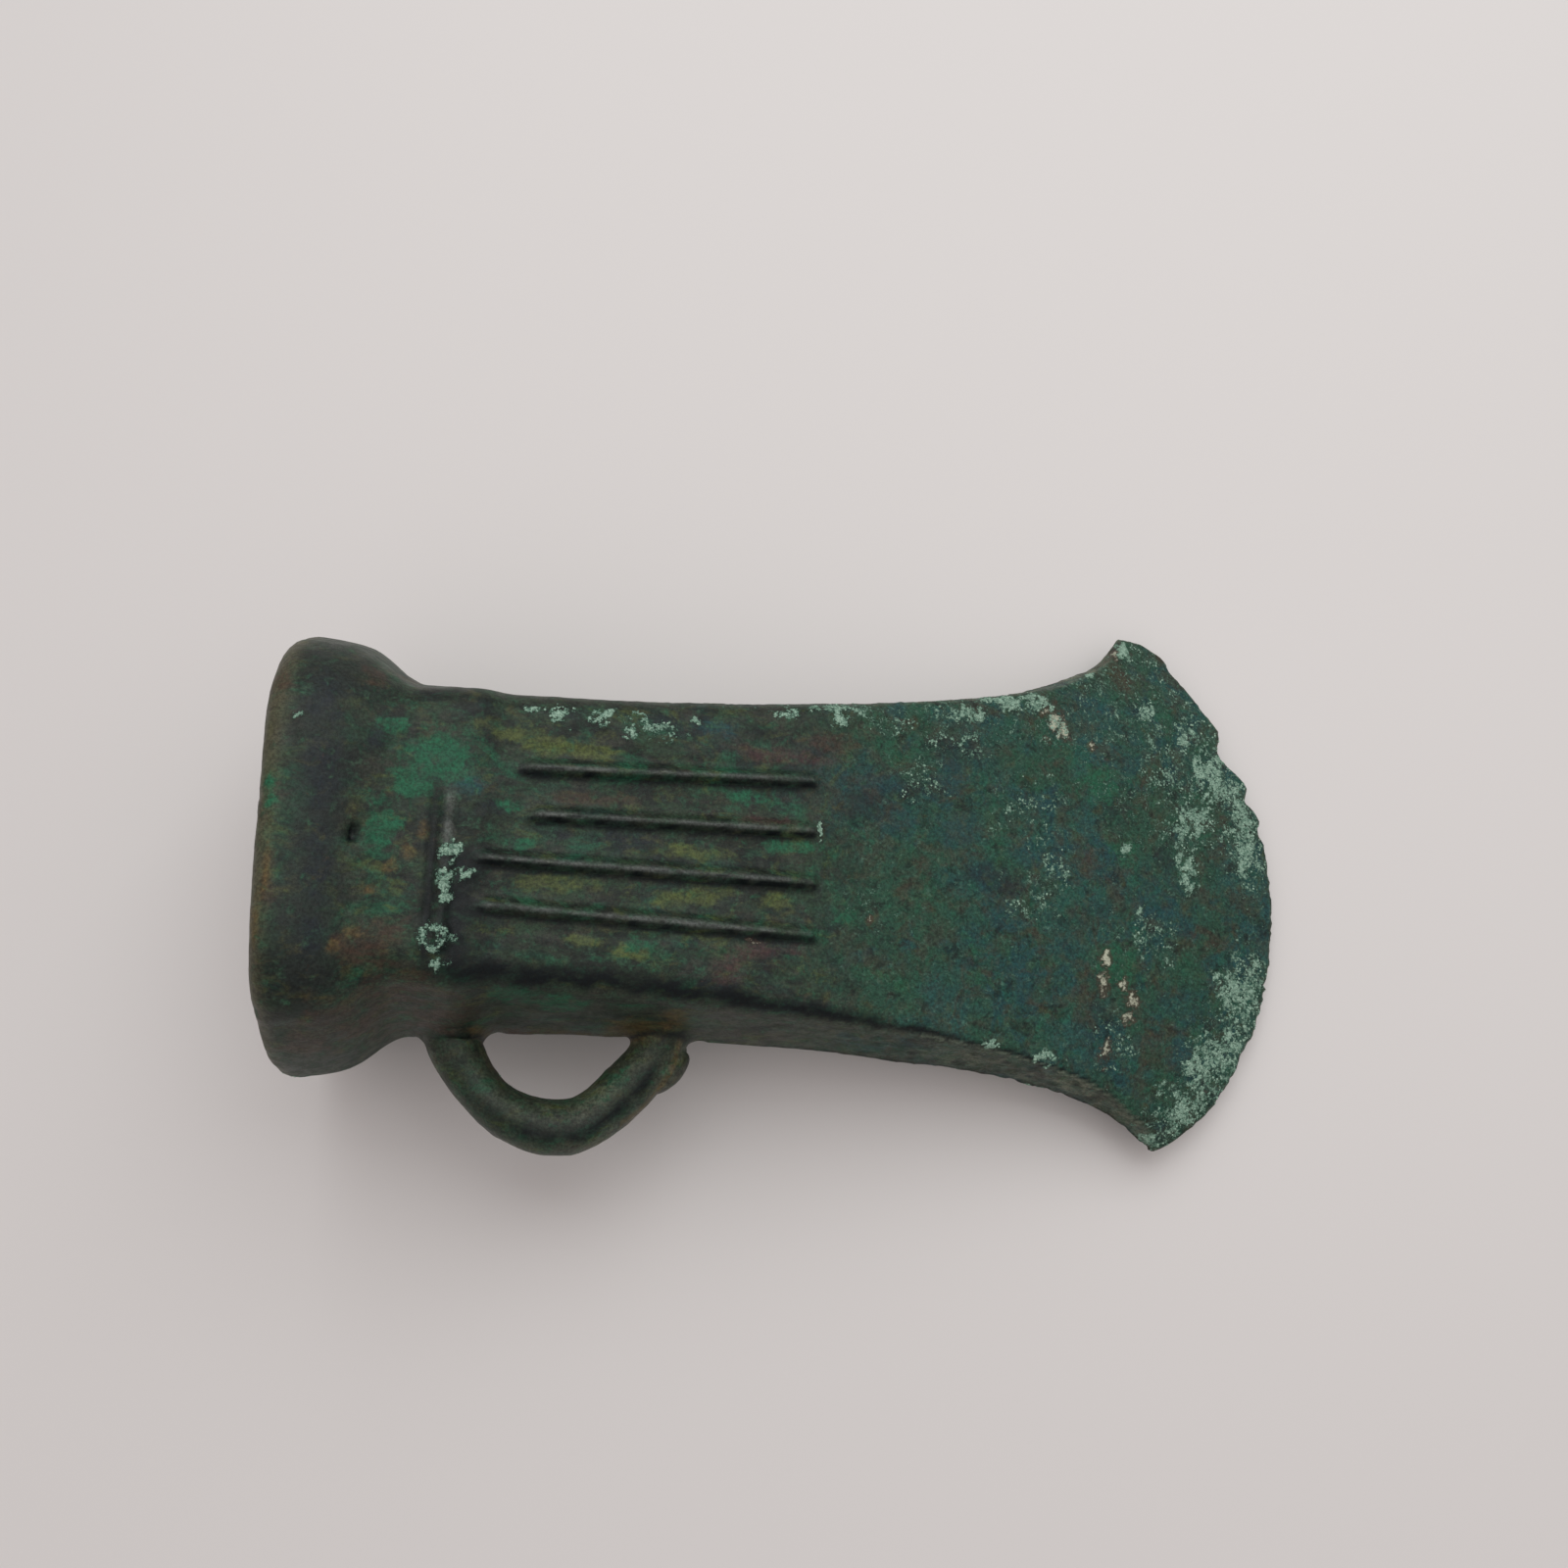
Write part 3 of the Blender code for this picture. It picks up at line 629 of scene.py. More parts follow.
patches = {
    "border": (0.2, 1.4),                  # where a patch fades, in its half sizes
    "window": (1.8, 1),                    # a patch is looked for within this many half sizes, and mm
    "ragged": 0.45, "crustRagged": 0.9,
    "solidPatch": 1.85, "lacyShare": 0.74,      # smaller crust patches are solid, others lacy
    "octaves": 3, "seed": 20,              # of the noise that makes the hidden sides' patches
}
stains = {      # on the upper face: x, y, half length, half width in the axe frame
    "emerald": (
        (14.5, 7.4, 3.6, 2.4), (12.4, 4.1, 2.3, 1.9), (10.5, -0.1, 1.6, 2.6), (16.4, 5.7, 2.2, 1.5),
        (10.3, 9.5, 1.6, 1.0), (44.0, 5.5, 3.6, 0.9), (47.5, 0.9, 4.6, 0.8), (21.3, 2.8, 1.4, 0.7),
        (22.7, -0.6, 1.7, 0.8), (22.5, -14.2, 2.4, 0.8), (27.0, -14.8, 2.8, 0.7), (33.2, -9.5, 2.1, 0.8),
        (54.1, -5.7, 1.7, 1.0),
        (86.1, 2.8, 1.9, 1.7), (83.3, 10.3, 3.1, 2.5), (84.4, -9.0, 3.0, 2.4),
        (1.3, 1.8, 0.8, 1.4),
    ),
    "olive": (
        (21.1, 9.7, 2.0, 0.8), (24.1, 9.0, 2.8, 0.9), (28.1, 8.7, 3.3, 0.8), (25.9, -4.2, 4.7, 1.0),
        (38.0, -5.0, 3.8, 0.9), (46.6, -4.6, 2.1, 0.9), (38.8, -0.4, 3.8, 0.9), (28.6, -9.4, 2.6, 0.8),
        (32.5, -10.2, 2.2, 0.8),
    ),
    "rust": (
        (9.2, -10.8, 2.4, 1.9), (10.8, -12.3, 1.9, 1.3), (1.8, -6.4, 0.7, 2.3), (0.9, 12.5, 1.2, 1.4),
        (8.4, 14.3, 1.4, 1.2), (13.5, -14.0, 3.6, 1.6), (17.5, -15.4, 2.6, 0.9), (12.0, -9.0, 1.6, 1.4),
        (8.0, -16.8, 3.5, 1.8), (15.0, -16.2, 4.0, 1.2), (4.5, -19.0, 2.5, 1.3),
        (11.0, 15.8, 1.6, 1.0), (9.5, 17.5, 1.4, 0.8), (87.0, 26.3, 1.2, 2.6),
        (81.3, 1.7, 1.7, 2.4), (88.0, -17.8, 3.2, 2.5), (88.6, 23.2, 2.8, 2.2), (79.8, -12.4, 1.6, 3.0),
        (62.2, 0.1, 1.1, 1.3), (52.6, 11.6, 3.4, 1.1), (10.6, -14.6, 1.8, 1.3),
        (28.3, 4.1, 5.5, 0.7),
    ),
    "ochre": (
        (9.6, -5.8, 0.8, 0.6), (13.9, 0.0, 0.7, 1.3), (18.7, -16.9, 1.3, 0.7), (33.3, -16.4, 2.2, 0.8),
        (37.9, -15.8, 2.0, 0.8), (13.8, 0.5, 0.5, 0.9), (1.6, -4.3, 0.5, 3.2), (82.4, 14.5, 0.6, 0.6),
        (56.5, -5.9, 0.7, 0.6), (1.0, -9.0, 0.5, 2.6), (12.6, -2.0, 0.8, 0.9), (11.2, -3.6, 0.8, 0.8),
        (8.8, -9.6, 1.3, 0.6), (7.4, -11.0, 0.7, 1.0),
    ),
    "wine": (
        (47.2, 10.0, 6.3, 1.0), (42.2, -10.9, 1.8, 1.2), (49.2, -9.2, 1.5, 0.8), (44.5, -9.6, 2.6, 0.9),
        (46.0, 3.2, 3.6, 0.6), (42.0, -12.4, 1.5, 0.9),
    ),
    "midnight": (
        (4.6, 11.4, 2.0, 2.9), (5.2, 3.5, 1.6, 4.8), (5.6, -3.8, 1.4, 4.0), (5.4, -10.3, 1.2, 2.2),
        (9.1, 7.9, 1.1, 1.2), (23.8, 6.0, 2.1, 0.6), (32.4, 0.4, 3.3, 0.9), (87.6, 28.4, 0.8, 1.4),
        (25.8, 0.4, 1.4, 0.7), (41.5, -13.2, 3.9, 0.9), (56.0, 5.6, 3.4, 1.7), (68.8, -0.7, 3.2, 1.6),
        (91.3, 2.7, 1.8, 1.8), (66.2, 12.4, 3.3, 1.8), (85.4, 7.7, 3.0, 1.8), (19.5, 2.5, 1.7, 0.9),
        (50.5, 10.9, 2.2, 1.0), (47.8, -14.7, 5.8, 0.8), (60.5, 8.0, 5.0, 1.6), (72.0, -1.5, 3.0, 1.5),
    ),
    "teal": (
        (40.4, 12.0, 2.6, 0.9), (65.4, 9.4, 2.9, 2.2), (76.9, 8.1, 1.9, 1.4), (89.5, -1.5, 4.5, 3.3),
        (87.8, 13.0, 2.1, 1.4), (17.4, 4.5, 1.5, 1.1), (74.3, 2.1, 2.3, 1.9), (57.8, 8.0, 3.2, 1.5),
        (66.0, 3.6, 4.0, 2.6), (59.5, 4.0, 3.0, 2.2),
    ),
    "mint": (
        (2.9, 9.0, 0.9, 0.5), (16.3, -1.9, 0.9, 1.3), (17.6, -3.6, 1.0, 0.8), (16.1, -4.6, 1.0, 1.2),
        (16.4, -6.2, 0.7, 0.7), (17.2, -9.7, 0.9, 0.6), (16.0, -12.0, 0.9, 0.6), (22.7, 12.4, 0.9, 0.6),
        (25.4, 11.9, 1.8, 1.1), (29.7, 12.4, 1.8, 1.2), (31.7, 10.8, 0.8, 0.7), (33.3, 11.7, 1.9, 1.4),
        (35.7, 11.5, 1.9, 1.2), (38.4, 12.7, 0.7, 0.7), (47.7, 14.6, 1.5, 0.8), (53.2, 15.7, 3.4, 0.8),
        (67.7, 16.6, 3.0, 1.1), (72.3, 18.6, 3.0, 1.2), (76.0, 19.1, 2.6, 1.3), (78.1, 16.8, 1.6, 1.6),
        (83.7, 23.4, 0.8, 0.6), (88.0, 27.5, 1.2, 1.4), (90.2, 19.6, 1.9, 1.2), (95.2, 17.0, 2.4, 2.2),
        (98.4, 12.9, 3.9, 3.6), (101.5, 9.3, 3.1, 4.2), (95.0, 6.8, 3.5, 2.7), (101.9, 3.6, 1.9, 4.4),
        (101.3, -10.3, 2.5, 4.0), (98.2, -11.6, 2.6, 3.1), (98.1, -17.5, 2.5, 3.4), (94.6, -18.9, 3.3, 2.8),
        (91.4, -23.6, 4.0, 2.8), (88.1, -26.8, 1.5, 1.0), (75.2, -18.9, 1.7, 0.8), (69.3, -17.6, 1.3, 0.6),
        (86.0, 3.4, 0.8, 0.8),
        (93.7, 1.6, 2.0, 2.6), (51.1, 2.9, 0.4, 1.2), (53.1, 14.3, 0.9, 0.7),
        (87.5, -3.1, 0.4, 0.4),
    ),
    "cream": (
        (78.2, 17.2, 2.2, 2.3), (83.3, -8.5, 0.9, 1.0), (82.6, -11.0, 0.9, 1.7), (86.1, -12.5, 1.5, 1.0),
        (85.3, -14.5, 1.1, 0.7), (82.5, -18.2, 0.9, 1.5), (84.8, -10.9, 0.8, 0.7), (82.6, 14.7, 0.8, 0.8),
        (56.5, -5.9, 0.6, 0.5), (44.7, -8.7, 0.7, 0.4), (87.2, 27.2, 0.4, 1.0),
    ),
}
dust = (      # faint dust of the pale crust, listed the same way
    (62.1, 8.9, 3.4, 2.8), (74.1, 7.3, 5.0, 3.8), (74.7, -2.9, 4.4, 2.8), (77.2, 0.8, 3.0, 3.4),
    (56.0, -4.5, 2.6, 2.0), (67.0, 13.5, 6.0, 2.4), (58.0, 14.6, 5.0, 1.6), (66.0, 16.2, 5.0, 1.6),
    (88.0, -6.0, 4.5, 4.0), (92.0, 12.0, 4.0, 5.0), (84.0, -17.0, 3.0, 3.5),
)
hidden = {      # the same stains where the photo does not reach: noise scale, from and to levels
    "emerald": (0.11, 0.10, 0.42), "olive": (0.14, 0.22, 0.55), "rust": (0.10, 0.12, 0.45),
    "ochre": (0.17, 0.38, 0.65), "wine": (0.13, 0.25, 0.60), "midnight": (0.12, 0.15, 0.50),
    "teal": (0.10, 0.18, 0.50), "mint": (0.15, 0.30, 0.62), "cream": (0.30, 0.50, 0.75),
}


def readVectors(mesh, kind):
    values = np.empty(len(mesh.vertices) * 3)
    mesh.vertices.foreach_get(kind, values)
    return values.reshape(-1, 3)


def writePoints(mesh, points):
    mesh.vertices.foreach_set("co", points.ravel())
    mesh.update()


def filletRoot(mesh):      # softens the line where the loop and the stub leave the wall
    points = readVectors(mesh, "co")
    x, y, z = points.T
    off = -y - wallPlace(x, z)
    ringDistance = np.hypot(x - loop["place"], y - loopMiddleY) - loop["radius"]
    barDistance = np.abs(np.hypot(ringDistance, z * loop["bar"] / loop["breadth"]) - loop["bar"] / 2)
    away = np.maximum(np.abs(off), barDistance)
    weight = fall(away, loop["filletCore"] * loop["filletReach"], loop["filletReach"])
    low, high = loop["filletAlong"]
    weight[(y > -loop["filletOut"]) | (x < low) | (x > high)] = 0
    pairs = np.array([edge.vertices[:] for edge in mesh.edges])
    pairs = pairs[(weight[pairs[:, 0]] > 0) | (weight[pairs[:, 1]] > 0)]
    here, there = np.concatenate([pairs, pairs[:, ::-1]]).T
    size = len(points)
    count = np.maximum(np.bincount(here, minlength=size), 1)
    for _ in range(loop["filletRounds"]):
        mean = np.stack([np.bincount(here, column[there], size) for column in points.T], axis=1)
        mean /= count[:, None]
        points = points + (loop["filletStep"] * weight)[:, None] * (mean - points)
    writePoints(mesh, points)


def sectionPlace(points):      # the bowed section that each point lies on
    s = points[:, 0].copy()
    for _ in range(fineness["rounds"]):
        s = points[:, 0] + bowShare(s) * edgeDrop(points[:, 1])
    return s


def blot(points, rows, broad, fine, large, ragged):      # soft patches at the listed places
    mask = np.zeros(len(points))
    for x, y, halfX, halfY in rows:
        reach = patches["window"][0] * max(halfX, halfY) + patches["window"][1]
        near = (np.abs(points[:, 0] - x) < reach) & (np.abs(points[:, 1] - y) < reach)
        across = (points[near, 0] - x) / halfX + ragged * broad[near]
        along = (points[near, 1] - y) / halfY + ragged * fine[near]
        full = 1.0 if max(halfX, halfY) < patches["solidPatch"] else large
        mask[near] = np.maximum(mask[near], full * fall(np.hypot(across, along), *patches["border"]))
    return mask


def pits(points, share):      # small round corrosion pits, at cells picked by chance
    depth = np.zeros(len(points))
    scaled = (points * relief["pitScale"] + relief["pitSeed"]).tolist()
    for k, place in enumerate(scaled):
        if share[k] <= 0:
            continue
        distances, centres = noise.voronoi(place)
        chosen = noise.cell(centres[0] * relief["pitPick"]) * 0.5 + 0.5
        if chosen < relief["pitShare"] * share[k]:
            depth[k] = max(0.0, 1 - (distances[0] / relief["pitRadius"]) ** 2)
    return depth


filletRoot(axeHead.data)
points = readVectors(axeHead.data, "co")
normals = readVectors(axeHead.data, "normal")
x, y, z = points.T
_, sideways, up = normals.T
s = sectionPlace(points)

zones = {      # where the parts of the skin begin and end, in mm or by the normal
    "socketPast": (0.5, 1.1), "mouthEdge": 0.05, "inwards": 0.3,
    "upper": (-1.0, 1.0), "loopOff": (0.3, 1.2), "loopAlong": (12, 45),
    "blade": (47.0, 60.0), "face": (0.55, 0.85), "sideWall": (12, 15),
    "rim": (0.6, 2.6), "flareStart": (1.5, 4.0), "flareEnd": (6.0, 9.5),
    "cornerHighlight": (1.0, 0.60, 0.25), "cornerAlong": (56, 66),
    "broadNoise": (0.55, 2, 1), "fineNoise": (1.4, 3, 2),      # scale, octaves, seed
}
deeper, wider = zones["socketPast"]
socketWidth, socketHeight = socketSize(x)
inside = (np.abs(y) < socketWidth + wider) & (np.abs(z) < socketHeight + wider)
inside = inside & (x > zones["mouthEdge"]) & (x < axe["socketDepth"] + deeper)
inside = inside & (y * sideways + z * up < zones["inwards"] * np.hypot(y, z))
outside = ~inside
upper = ease(z, *zones["upper"]) * outside
offWall = -y - wallPlace(x, z)
loopFrom, loopTo = zones["loopAlong"]
onLoop = ease(offWall, *zones["loopOff"]) * (x > loopFrom) * (x < loopTo)
bladeZone = ease(s, *zones["blade"]) * outside
faceShare = ease(np.abs(up), *zones["face"]) * outside * (1 - onLoop)
broad = roughness3d(points, *zones["broadNoise"])
fine = roughness3d(points, *zones["fineNoise"])

masks = {}
for name, rows in stains.items():
    scale, start, end = hidden[name]
    chance = ease(roughness3d(points, scale, patches["octaves"], patches["seed"] + len(masks)), start, end)
    large = patches["lacyShare"] if name == "mint" else 1.0
    ragged = patches["crustRagged" if name in ("mint", "cream") else "ragged"]
    shown = blot(points, rows, broad, fine, large, ragged) * upper * (1 - onLoop)
    masks[name] = shown + chance * (1 - upper)
print("stains and crusts placed")

# In the next dictionaries a band is strength, place and half width, and the rest strengths and ranges
crust = {      # more pale crust
    "edge": 0.52, "edgeReach": (1.0, 13.0), "hiddenEdge": 0.6, "hiddenReach": (1.5, 9.0),
    "thinBand": (0.75, -3.5, 7.5),       # less in the middle of the edge
    "horn": (12, 18), "hornLeft": 0.7,
    "dust": 0.44, "specks": 0.26, "specksAlong": (68, 88), "specksAcross": (-4.0, 8.0),
    "border": 0.30, "borderAlong": (26, 34), "borderAcross": (12.5, 15.0),
}
fromEdge = axe["length"] - s
edgeCrust = (1 - band(y, *crust["thinBand"])) * atLeast(crust["hornLeft"], fall(y, *crust["horn"]))
masks["mint"] = outside * np.maximum.reduce((
    masks["mint"],
    crust["hiddenEdge"] * (1 - upper) * fall(fromEdge, *crust["hiddenReach"]),
    crust["edge"] * upper * edgeCrust * fall(fromEdge, *crust["edgeReach"]),
    crust["dust"] * upper * blot(points, dust, broad, fine, 1.0, patches["crustRagged"]),
    crust["specks"] * upper * ease(s, *crust["specksAlong"]) * ease(y, *crust["specksAcross"]),
    crust["border"] * upper * ease(s, *crust["borderAlong"]) * ease(y, *crust["borderAcross"]),
))
masks["cream"] = masks["cream"] * outside

ribShading = {      # painted highlight on the rib crests, painted shadow with some dirt below each rib, darker patina and painted shade beside them, painted shade in the cross groove and behind the cross rib
    "crest": (0.1, 0.42), "crestFade": (42, 50), "crestLeft": 0.5,
    "crossBand": (0.8, 0.1, 0.9), "crossInset": (3, -1),
    "angleBand": (1.0, -0.72, 0.55), "angleStart": (-0.5, 2.0), "angleEnd": (-1.0, 0.5),      # below each rib
    "patchyNoise": (0.45, 3, 6), "patchyStretch": (1.0, 0.3, 0.3), "patchy": (0.85, 0.9, 0.25),
    "grooveBand": (0.8, 0.0, 0.84),
    "behindBand": (1.0, 17.3, 3.6), "behindStart": (0.0, 3.0), "behindEnd": (12.0, 14.0),
    "beside": (1.5, 0.6, 0.8), "besideShare": 0.5,
}
# painted highlight: a pale line along each rib's crest and the cross rib, set a little towards the lit side
shift, breadth = ribShading["crest"]
ribCrestHighlight = ribRise(s, y + shift, breadth) * atLeast(ribShading["crestLeft"], fall(s, *ribShading["crestFade"]))
crossSpan = ease(y, *np.add(axe["crossRange"], ribShading["crossInset"])) * crossShare(y)
crest = faceShare * np.clip(ribCrestHighlight + crossSpan * band(s - axe["crossPlace"], *ribShading["crossBand"]), 0, 1)
# painted shadow, with some dirt, on the steep lower flank below each rib
ribShadowAndDirt = 0
for start, line in zip(axe["ribStarts"], ribLines(s)):
    along = ease(s - start, *ribShading["angleStart"]) * fall(s - axe["ribEnd"], *ribShading["angleEnd"])
    ribShadowAndDirt = ribShadowAndDirt + along * band(y - line, *ribShading["angleBand"])
stretched = points * np.array(ribShading["patchyStretch"])
ribShadowAndDirt = ribShadowAndDirt * patchy(roughness3d(stretched, *ribShading["patchyNoise"]), *ribShading["patchy"])
# painted shade in the groove before the cross rib and in the hollow behind it
groove = crossShare(y) * band(s - axe["groovePlace"], *ribShading["grooveBand"])
behindCross = span(-y, ribShading["behindStart"], ribShading["behindEnd"]) * band(s, *ribShading["behindBand"])
hollow = faceShare * np.clip(ribShadowAndDirt + groove + behindCross, 0, 1)
# darker at the foot of each rib: partly dark patina, partly painted shade
wide, narrowShare, narrow = ribShading["beside"]
besideRib = np.clip(ribRise(s, y, wide) - narrowShare * ribRise(s, y, narrow), 0, 1)
masks["midnight"] = np.maximum(masks["midnight"], ribShading["besideShare"] * faceShare * upper * besideRib)

fold = {      # painted shade on the bend between face and wall, in bands by the normal's y
    "wideBand": (0.75, -0.50, 0.50), "wideEnd": (52, 70),
    "coreBand": (1.3, -0.50, 0.36), "coreFade": (80, 96), "coreLeft": 0.3,
    "drift": 0.10, "driftAlong": (38, 55), "sway": 0.25, "start": (12, 19),
}
swayed = sideways - fold["sway"] * broad
foldWide = band(swayed, *fold["wideBand"]) * fall(s, *fold["wideEnd"])
foldCore = np.clip(band(swayed + fold["drift"] * ease(s, *fold["driftAlong"]), *fold["coreBand"]), 0, 1)
foldCore = foldCore * atLeast(fold["coreLeft"], fall(s, *fold["coreFade"]))
foldShade = np.maximum(foldWide, foldCore) * (up > 0) * ease(s, *fold["start"]) * (1 - onLoop) * outside

loopMarks = {      # off is the way out from the middle line of the bar, along is from the loop's middle
    "crease": (0.85, 1.1), "creaseAlong": (2, 6), "creaseSway": 0.3,      # it follows the flattened leg
    "coreBand": (0.8, 0.0, 0.9), "haloBand": (0.45, -0.8, 1.7),
    "creaseWall": (2.0, 4.0), "creasePatchy": (0.95, 0.5, 0.5), "leftLeg": (-8, -4), "leftLeast": 0.35,
    "stubFrom": 33, "stubDarker": 0.50, "stubOff": (1.9, 2.8), "stubBand": (0.9, 1.3, 0.6),
    "rootBand": (0.75, 34.5, 5.5), "rootWall": (0.6, 2.4), "rootHeight": (-3, 5),
    "wine": 0.8, "wineOff": (-2.3, -1.2), "wineEnd": -2, "wineWall": 5,
    "olive": 0.22, "oliveOff": (-2.2, -0.4), "emerald": 0.12, "emeraldOff": (-1.8, 0.0),
    "paleOff": (0.6, 1.8), "paleLeast": 0.25, "paleAlong": (-6, 3), "paleLeft": 0.5,
}
off = np.hypot(x - loop["place"], y - loopMiddleY) - loop["radius"]
along = x - loop["place"]
loopTop, loopSeen, stubSide = onLoop * (z > 0), onLoop * (z > -1), x > loopMarks["stubFrom"]
start, slope = loopMarks["crease"]
creasePlace = start - slope * ease(along, *loopMarks["creaseAlong"])
fromCrease = off - creasePlace - loopMarks["creaseSway"] * broad
creased = loopTop * ease(offWall, *loopMarks["creaseWall"]) * patchy(broad, *loopMarks["creasePatchy"])
creased = creased * atLeast(loopMarks["leftLeast"], ease(along, *loopMarks["leftLeg"]))
# painted core shadow: a dark band along the bar's upper side, where the crease lies
loopCoreShadow = band(fromCrease, *loopMarks["coreBand"]) + band(fromCrease, *loopMarks["haloBand"])
# darker on the top of the stub
stubDarker = loopMarks["stubDarker"] * loopTop * stubSide * ease(off, *loopMarks["stubOff"])
hollow = hollow + creased * loopCoreShadow + stubDarker
low, high = loopMarks["rootHeight"]
atRoot = fall(np.abs(offWall), *loopMarks["rootWall"]) * (z > low) * (z < high)
masks["ochre"] += loopSeen * stubSide * band(off, *loopMarks["stubBand"])
masks["ochre"] += atRoot * band(x, *loopMarks["rootBand"])
for name, where in (("wine", (along < loopMarks["wineEnd"]) * (offWall < loopMarks["wineWall"])),
                    ("olive", 1), ("emerald", 1)):
    masks[name] += loopMarks[name] * loopSeen * where * fall(off, *loopMarks[name + "Off"])
# painted highlight and painted reflection of the floor on the bar, either side of its painted core shadow
loopPaintedLight = onLoop * atLeast(loopMarks["paleLeast"], ease(np.abs(fromCrease), *loopMarks["paleOff"]))
loopPaintedLight = loopPaintedLight * atLeast(loopMarks["paleLeft"], ease(along, *loopMarks["paleAlong"]))

wallMarks = {      # on the side wall that the loop stands on
    "seamBand": (1.0, 0.5, 2.5), "seamOff": 0.8, "ochre": 0.6, "ochreStart": (16, 19), "ochreEnd": (38, 41),
    "wineBand": (0.8, 22.5, 2.5),
    "lineBand": (0.8, 0.1, 1.1), "lineStart": (42, 50), "linePatchy": (0.7, 1.2),
    "rustBand": (0.8, -2.5, 3.0), "rustOff": 0.5, "rustStart": (3, 6), "rustEnd": (15, 20),
    "pale": 0.62, "paleAlong": (45, 72), "palerAlong": (72, 84), "loopPaintedLight": 0.50,
}
loopSide = (y < 0) * outside
alongSeam = band(z, *wallMarks["seamBand"]) * (offWall < wallMarks["seamOff"]) * loopSide
masks["ochre"] += wallMarks["ochre"] * alongSeam * span(x, wallMarks["ochreStart"], wallMarks["ochreEnd"])
masks["wine"] += alongSeam * band(x, *wallMarks["wineBand"])
lineDirt = patchy(fine, *wallMarks["linePatchy"]) * ease(s, *wallMarks["lineStart"]) * (1 - faceShare)
hollow = hollow + lineDirt * band(z, *wallMarks["lineBand"]) * loopSide
# partly rust, partly painted shadow along the collar's lower edge
rustAndShadeUnderCollar = span(x, wallMarks["rustStart"], wallMarks["rustEnd"]) * (offWall < wallMarks["rustOff"]) * loopSide
masks["rust"] += rustAndShadeUnderCollar * band(z, *wallMarks["rustBand"])
paler = wallMarks["pale"]
wallPale = paler * ease(s, *wallMarks["paleAlong"]) + (1 - paler) * ease(s, *wallMarks["palerAlong"])
print("wear and dirt placed")

lift = relief["waveHeight"] * roughness3d(points, *relief["waveNoise"])
castSkin = relief["castHeight"] * roughness3d(points, *relief["castNoise"])
corrodedSkin = relief["corrodedHeight"] * roughness3d(points, *relief["corrodedNoise"])
lift += castSkin * (1 - bladeZone) + corrodedSkin * bladeZone
lift -= relief["pitDepth"] * pits(points, atLeast(relief["pitsOnSocket"], bladeZone))
lift += relief["crustHeight"] * masks["mint"] * patchy(fine, *relief["crustPatchy"])
seamSpan = span(s, relief["seamStart"], relief["seamEnd"]) * (1 - faceShare) * outside
seamShare = patchy(roughness3d(points, *relief["seamNoise"]), *relief["seamPatchy"])
lift += band(z, *relief["seamBand"]) * seamSpan * seamShare
gapSpan = span(s, relief["gapStart"], relief["gapEnd"]) * (np.abs(y - axe["ribShift"]) < relief["gapHalf"])
lift -= relief["gapHollow"] * faceShare * gapSpan * (1 - np.clip(ribRise(s, y, relief["gapRibs"]), 0, 1))
endStep = band(s - axe["ribEnd"], *relief["endBand"]) * (np.abs(y) < relief["endReach"])
lift += endStep * faceShare * patchy(broad, *relief["endPatchy"])

placeX, placeY, halfX, halfY, depth = relief["slit"]
slitMask = upper * fall(np.hypot((x - placeX) / halfX, (y - placeY) / halfY), *relief["slitEdge"])
lift -= depth * slitMask
placeX, placeY, radius, half, rise = relief["ring"]
ringMask = upper * hump(np.hypot(x - placeX, y - placeY) - radius + relief["ringSway"] * fine, half)
lift += rise * ringMask
masks["mint"] = np.maximum(masks["mint"], relief["ringCrust"] * ringMask)
placeX, placeY, placeZ, reach, depth = relief["nick"]
lift -= depth * hump(np.sqrt((x - placeX) ** 2 + (y - placeY) ** 2 + (z - placeZ) ** 2), reach)

lift = np.where(inside, relief["insideShare"] * lift, lift)
points = points + normals * lift[:, None]
for placeX, placeY, reach, pushX, pushY in relief["nudges"]:
    share = hump(np.hypot(x - placeX, y - placeY), reach) * (1 - onLoop) * outside
    points = points + share[:, None] * np.array([pushX, pushY, 0.0])
print("relief ready, mm", lift.min().round(2), lift.max().round(2))


def laidDown(points):      # tips the axe frame onto the floor
    turn = math.radians(axe["tilt"])
    cosine, sine = math.cos(turn), math.sin(turn)
    x, y, z = points.T
    return np.stack([cosine * x + sine * z, y, cosine * z - sine * x], axis=1)


plain = laidDown(readVectors(axeHead.data, "co"))
shift = (boxLow + boxHigh) / 2 - (plain.min(axis=0) + plain.max(axis=0)) / 2
shift[2] = boxLow[2] - plain[:, 2].min()
laid = laidDown(points) + shift
kept = np.clip(laid, boxLow, boxHigh)
writePoints(axeHead.data, kept / mmPerMetre)
print("laid down, shift in mm", shift.round(3), "clipped", int((kept != laid).any(axis=1).sum()))

masks["crest"] = crest
# painted shade with some grime, and painted shade in the open casting pit
masks["hollow"] = np.maximum(hollow, slitMask)
masks["fold"] = foldShade
masks["bladeZone"] = bladeZone
masks["insideSocket"] = inside
masks["wallZone"] = (1 - faceShare) * outside * fall(np.abs(z), *zones["sideWall"])
# on the loop this is painted highlight and painted reflection of the floor
masks["wallPale"] = np.maximum(wallPale * (1 - onLoop), wallMarks["loopPaintedLight"] * loopPaintedLight)
# lighter lip of the mouth: partly worn, partly a painted highlight
masks["rim"] = fall(x, *zones["rim"]) * outside
# painted highlight: a pale line along the lower corner, placed by which way the surface faces
masks["cornerHighlight"] = band(up, *zones["cornerHighlight"]) * (sideways < 0) * outside
masks["cornerHighlight"] *= ease(s, *zones["cornerAlong"])
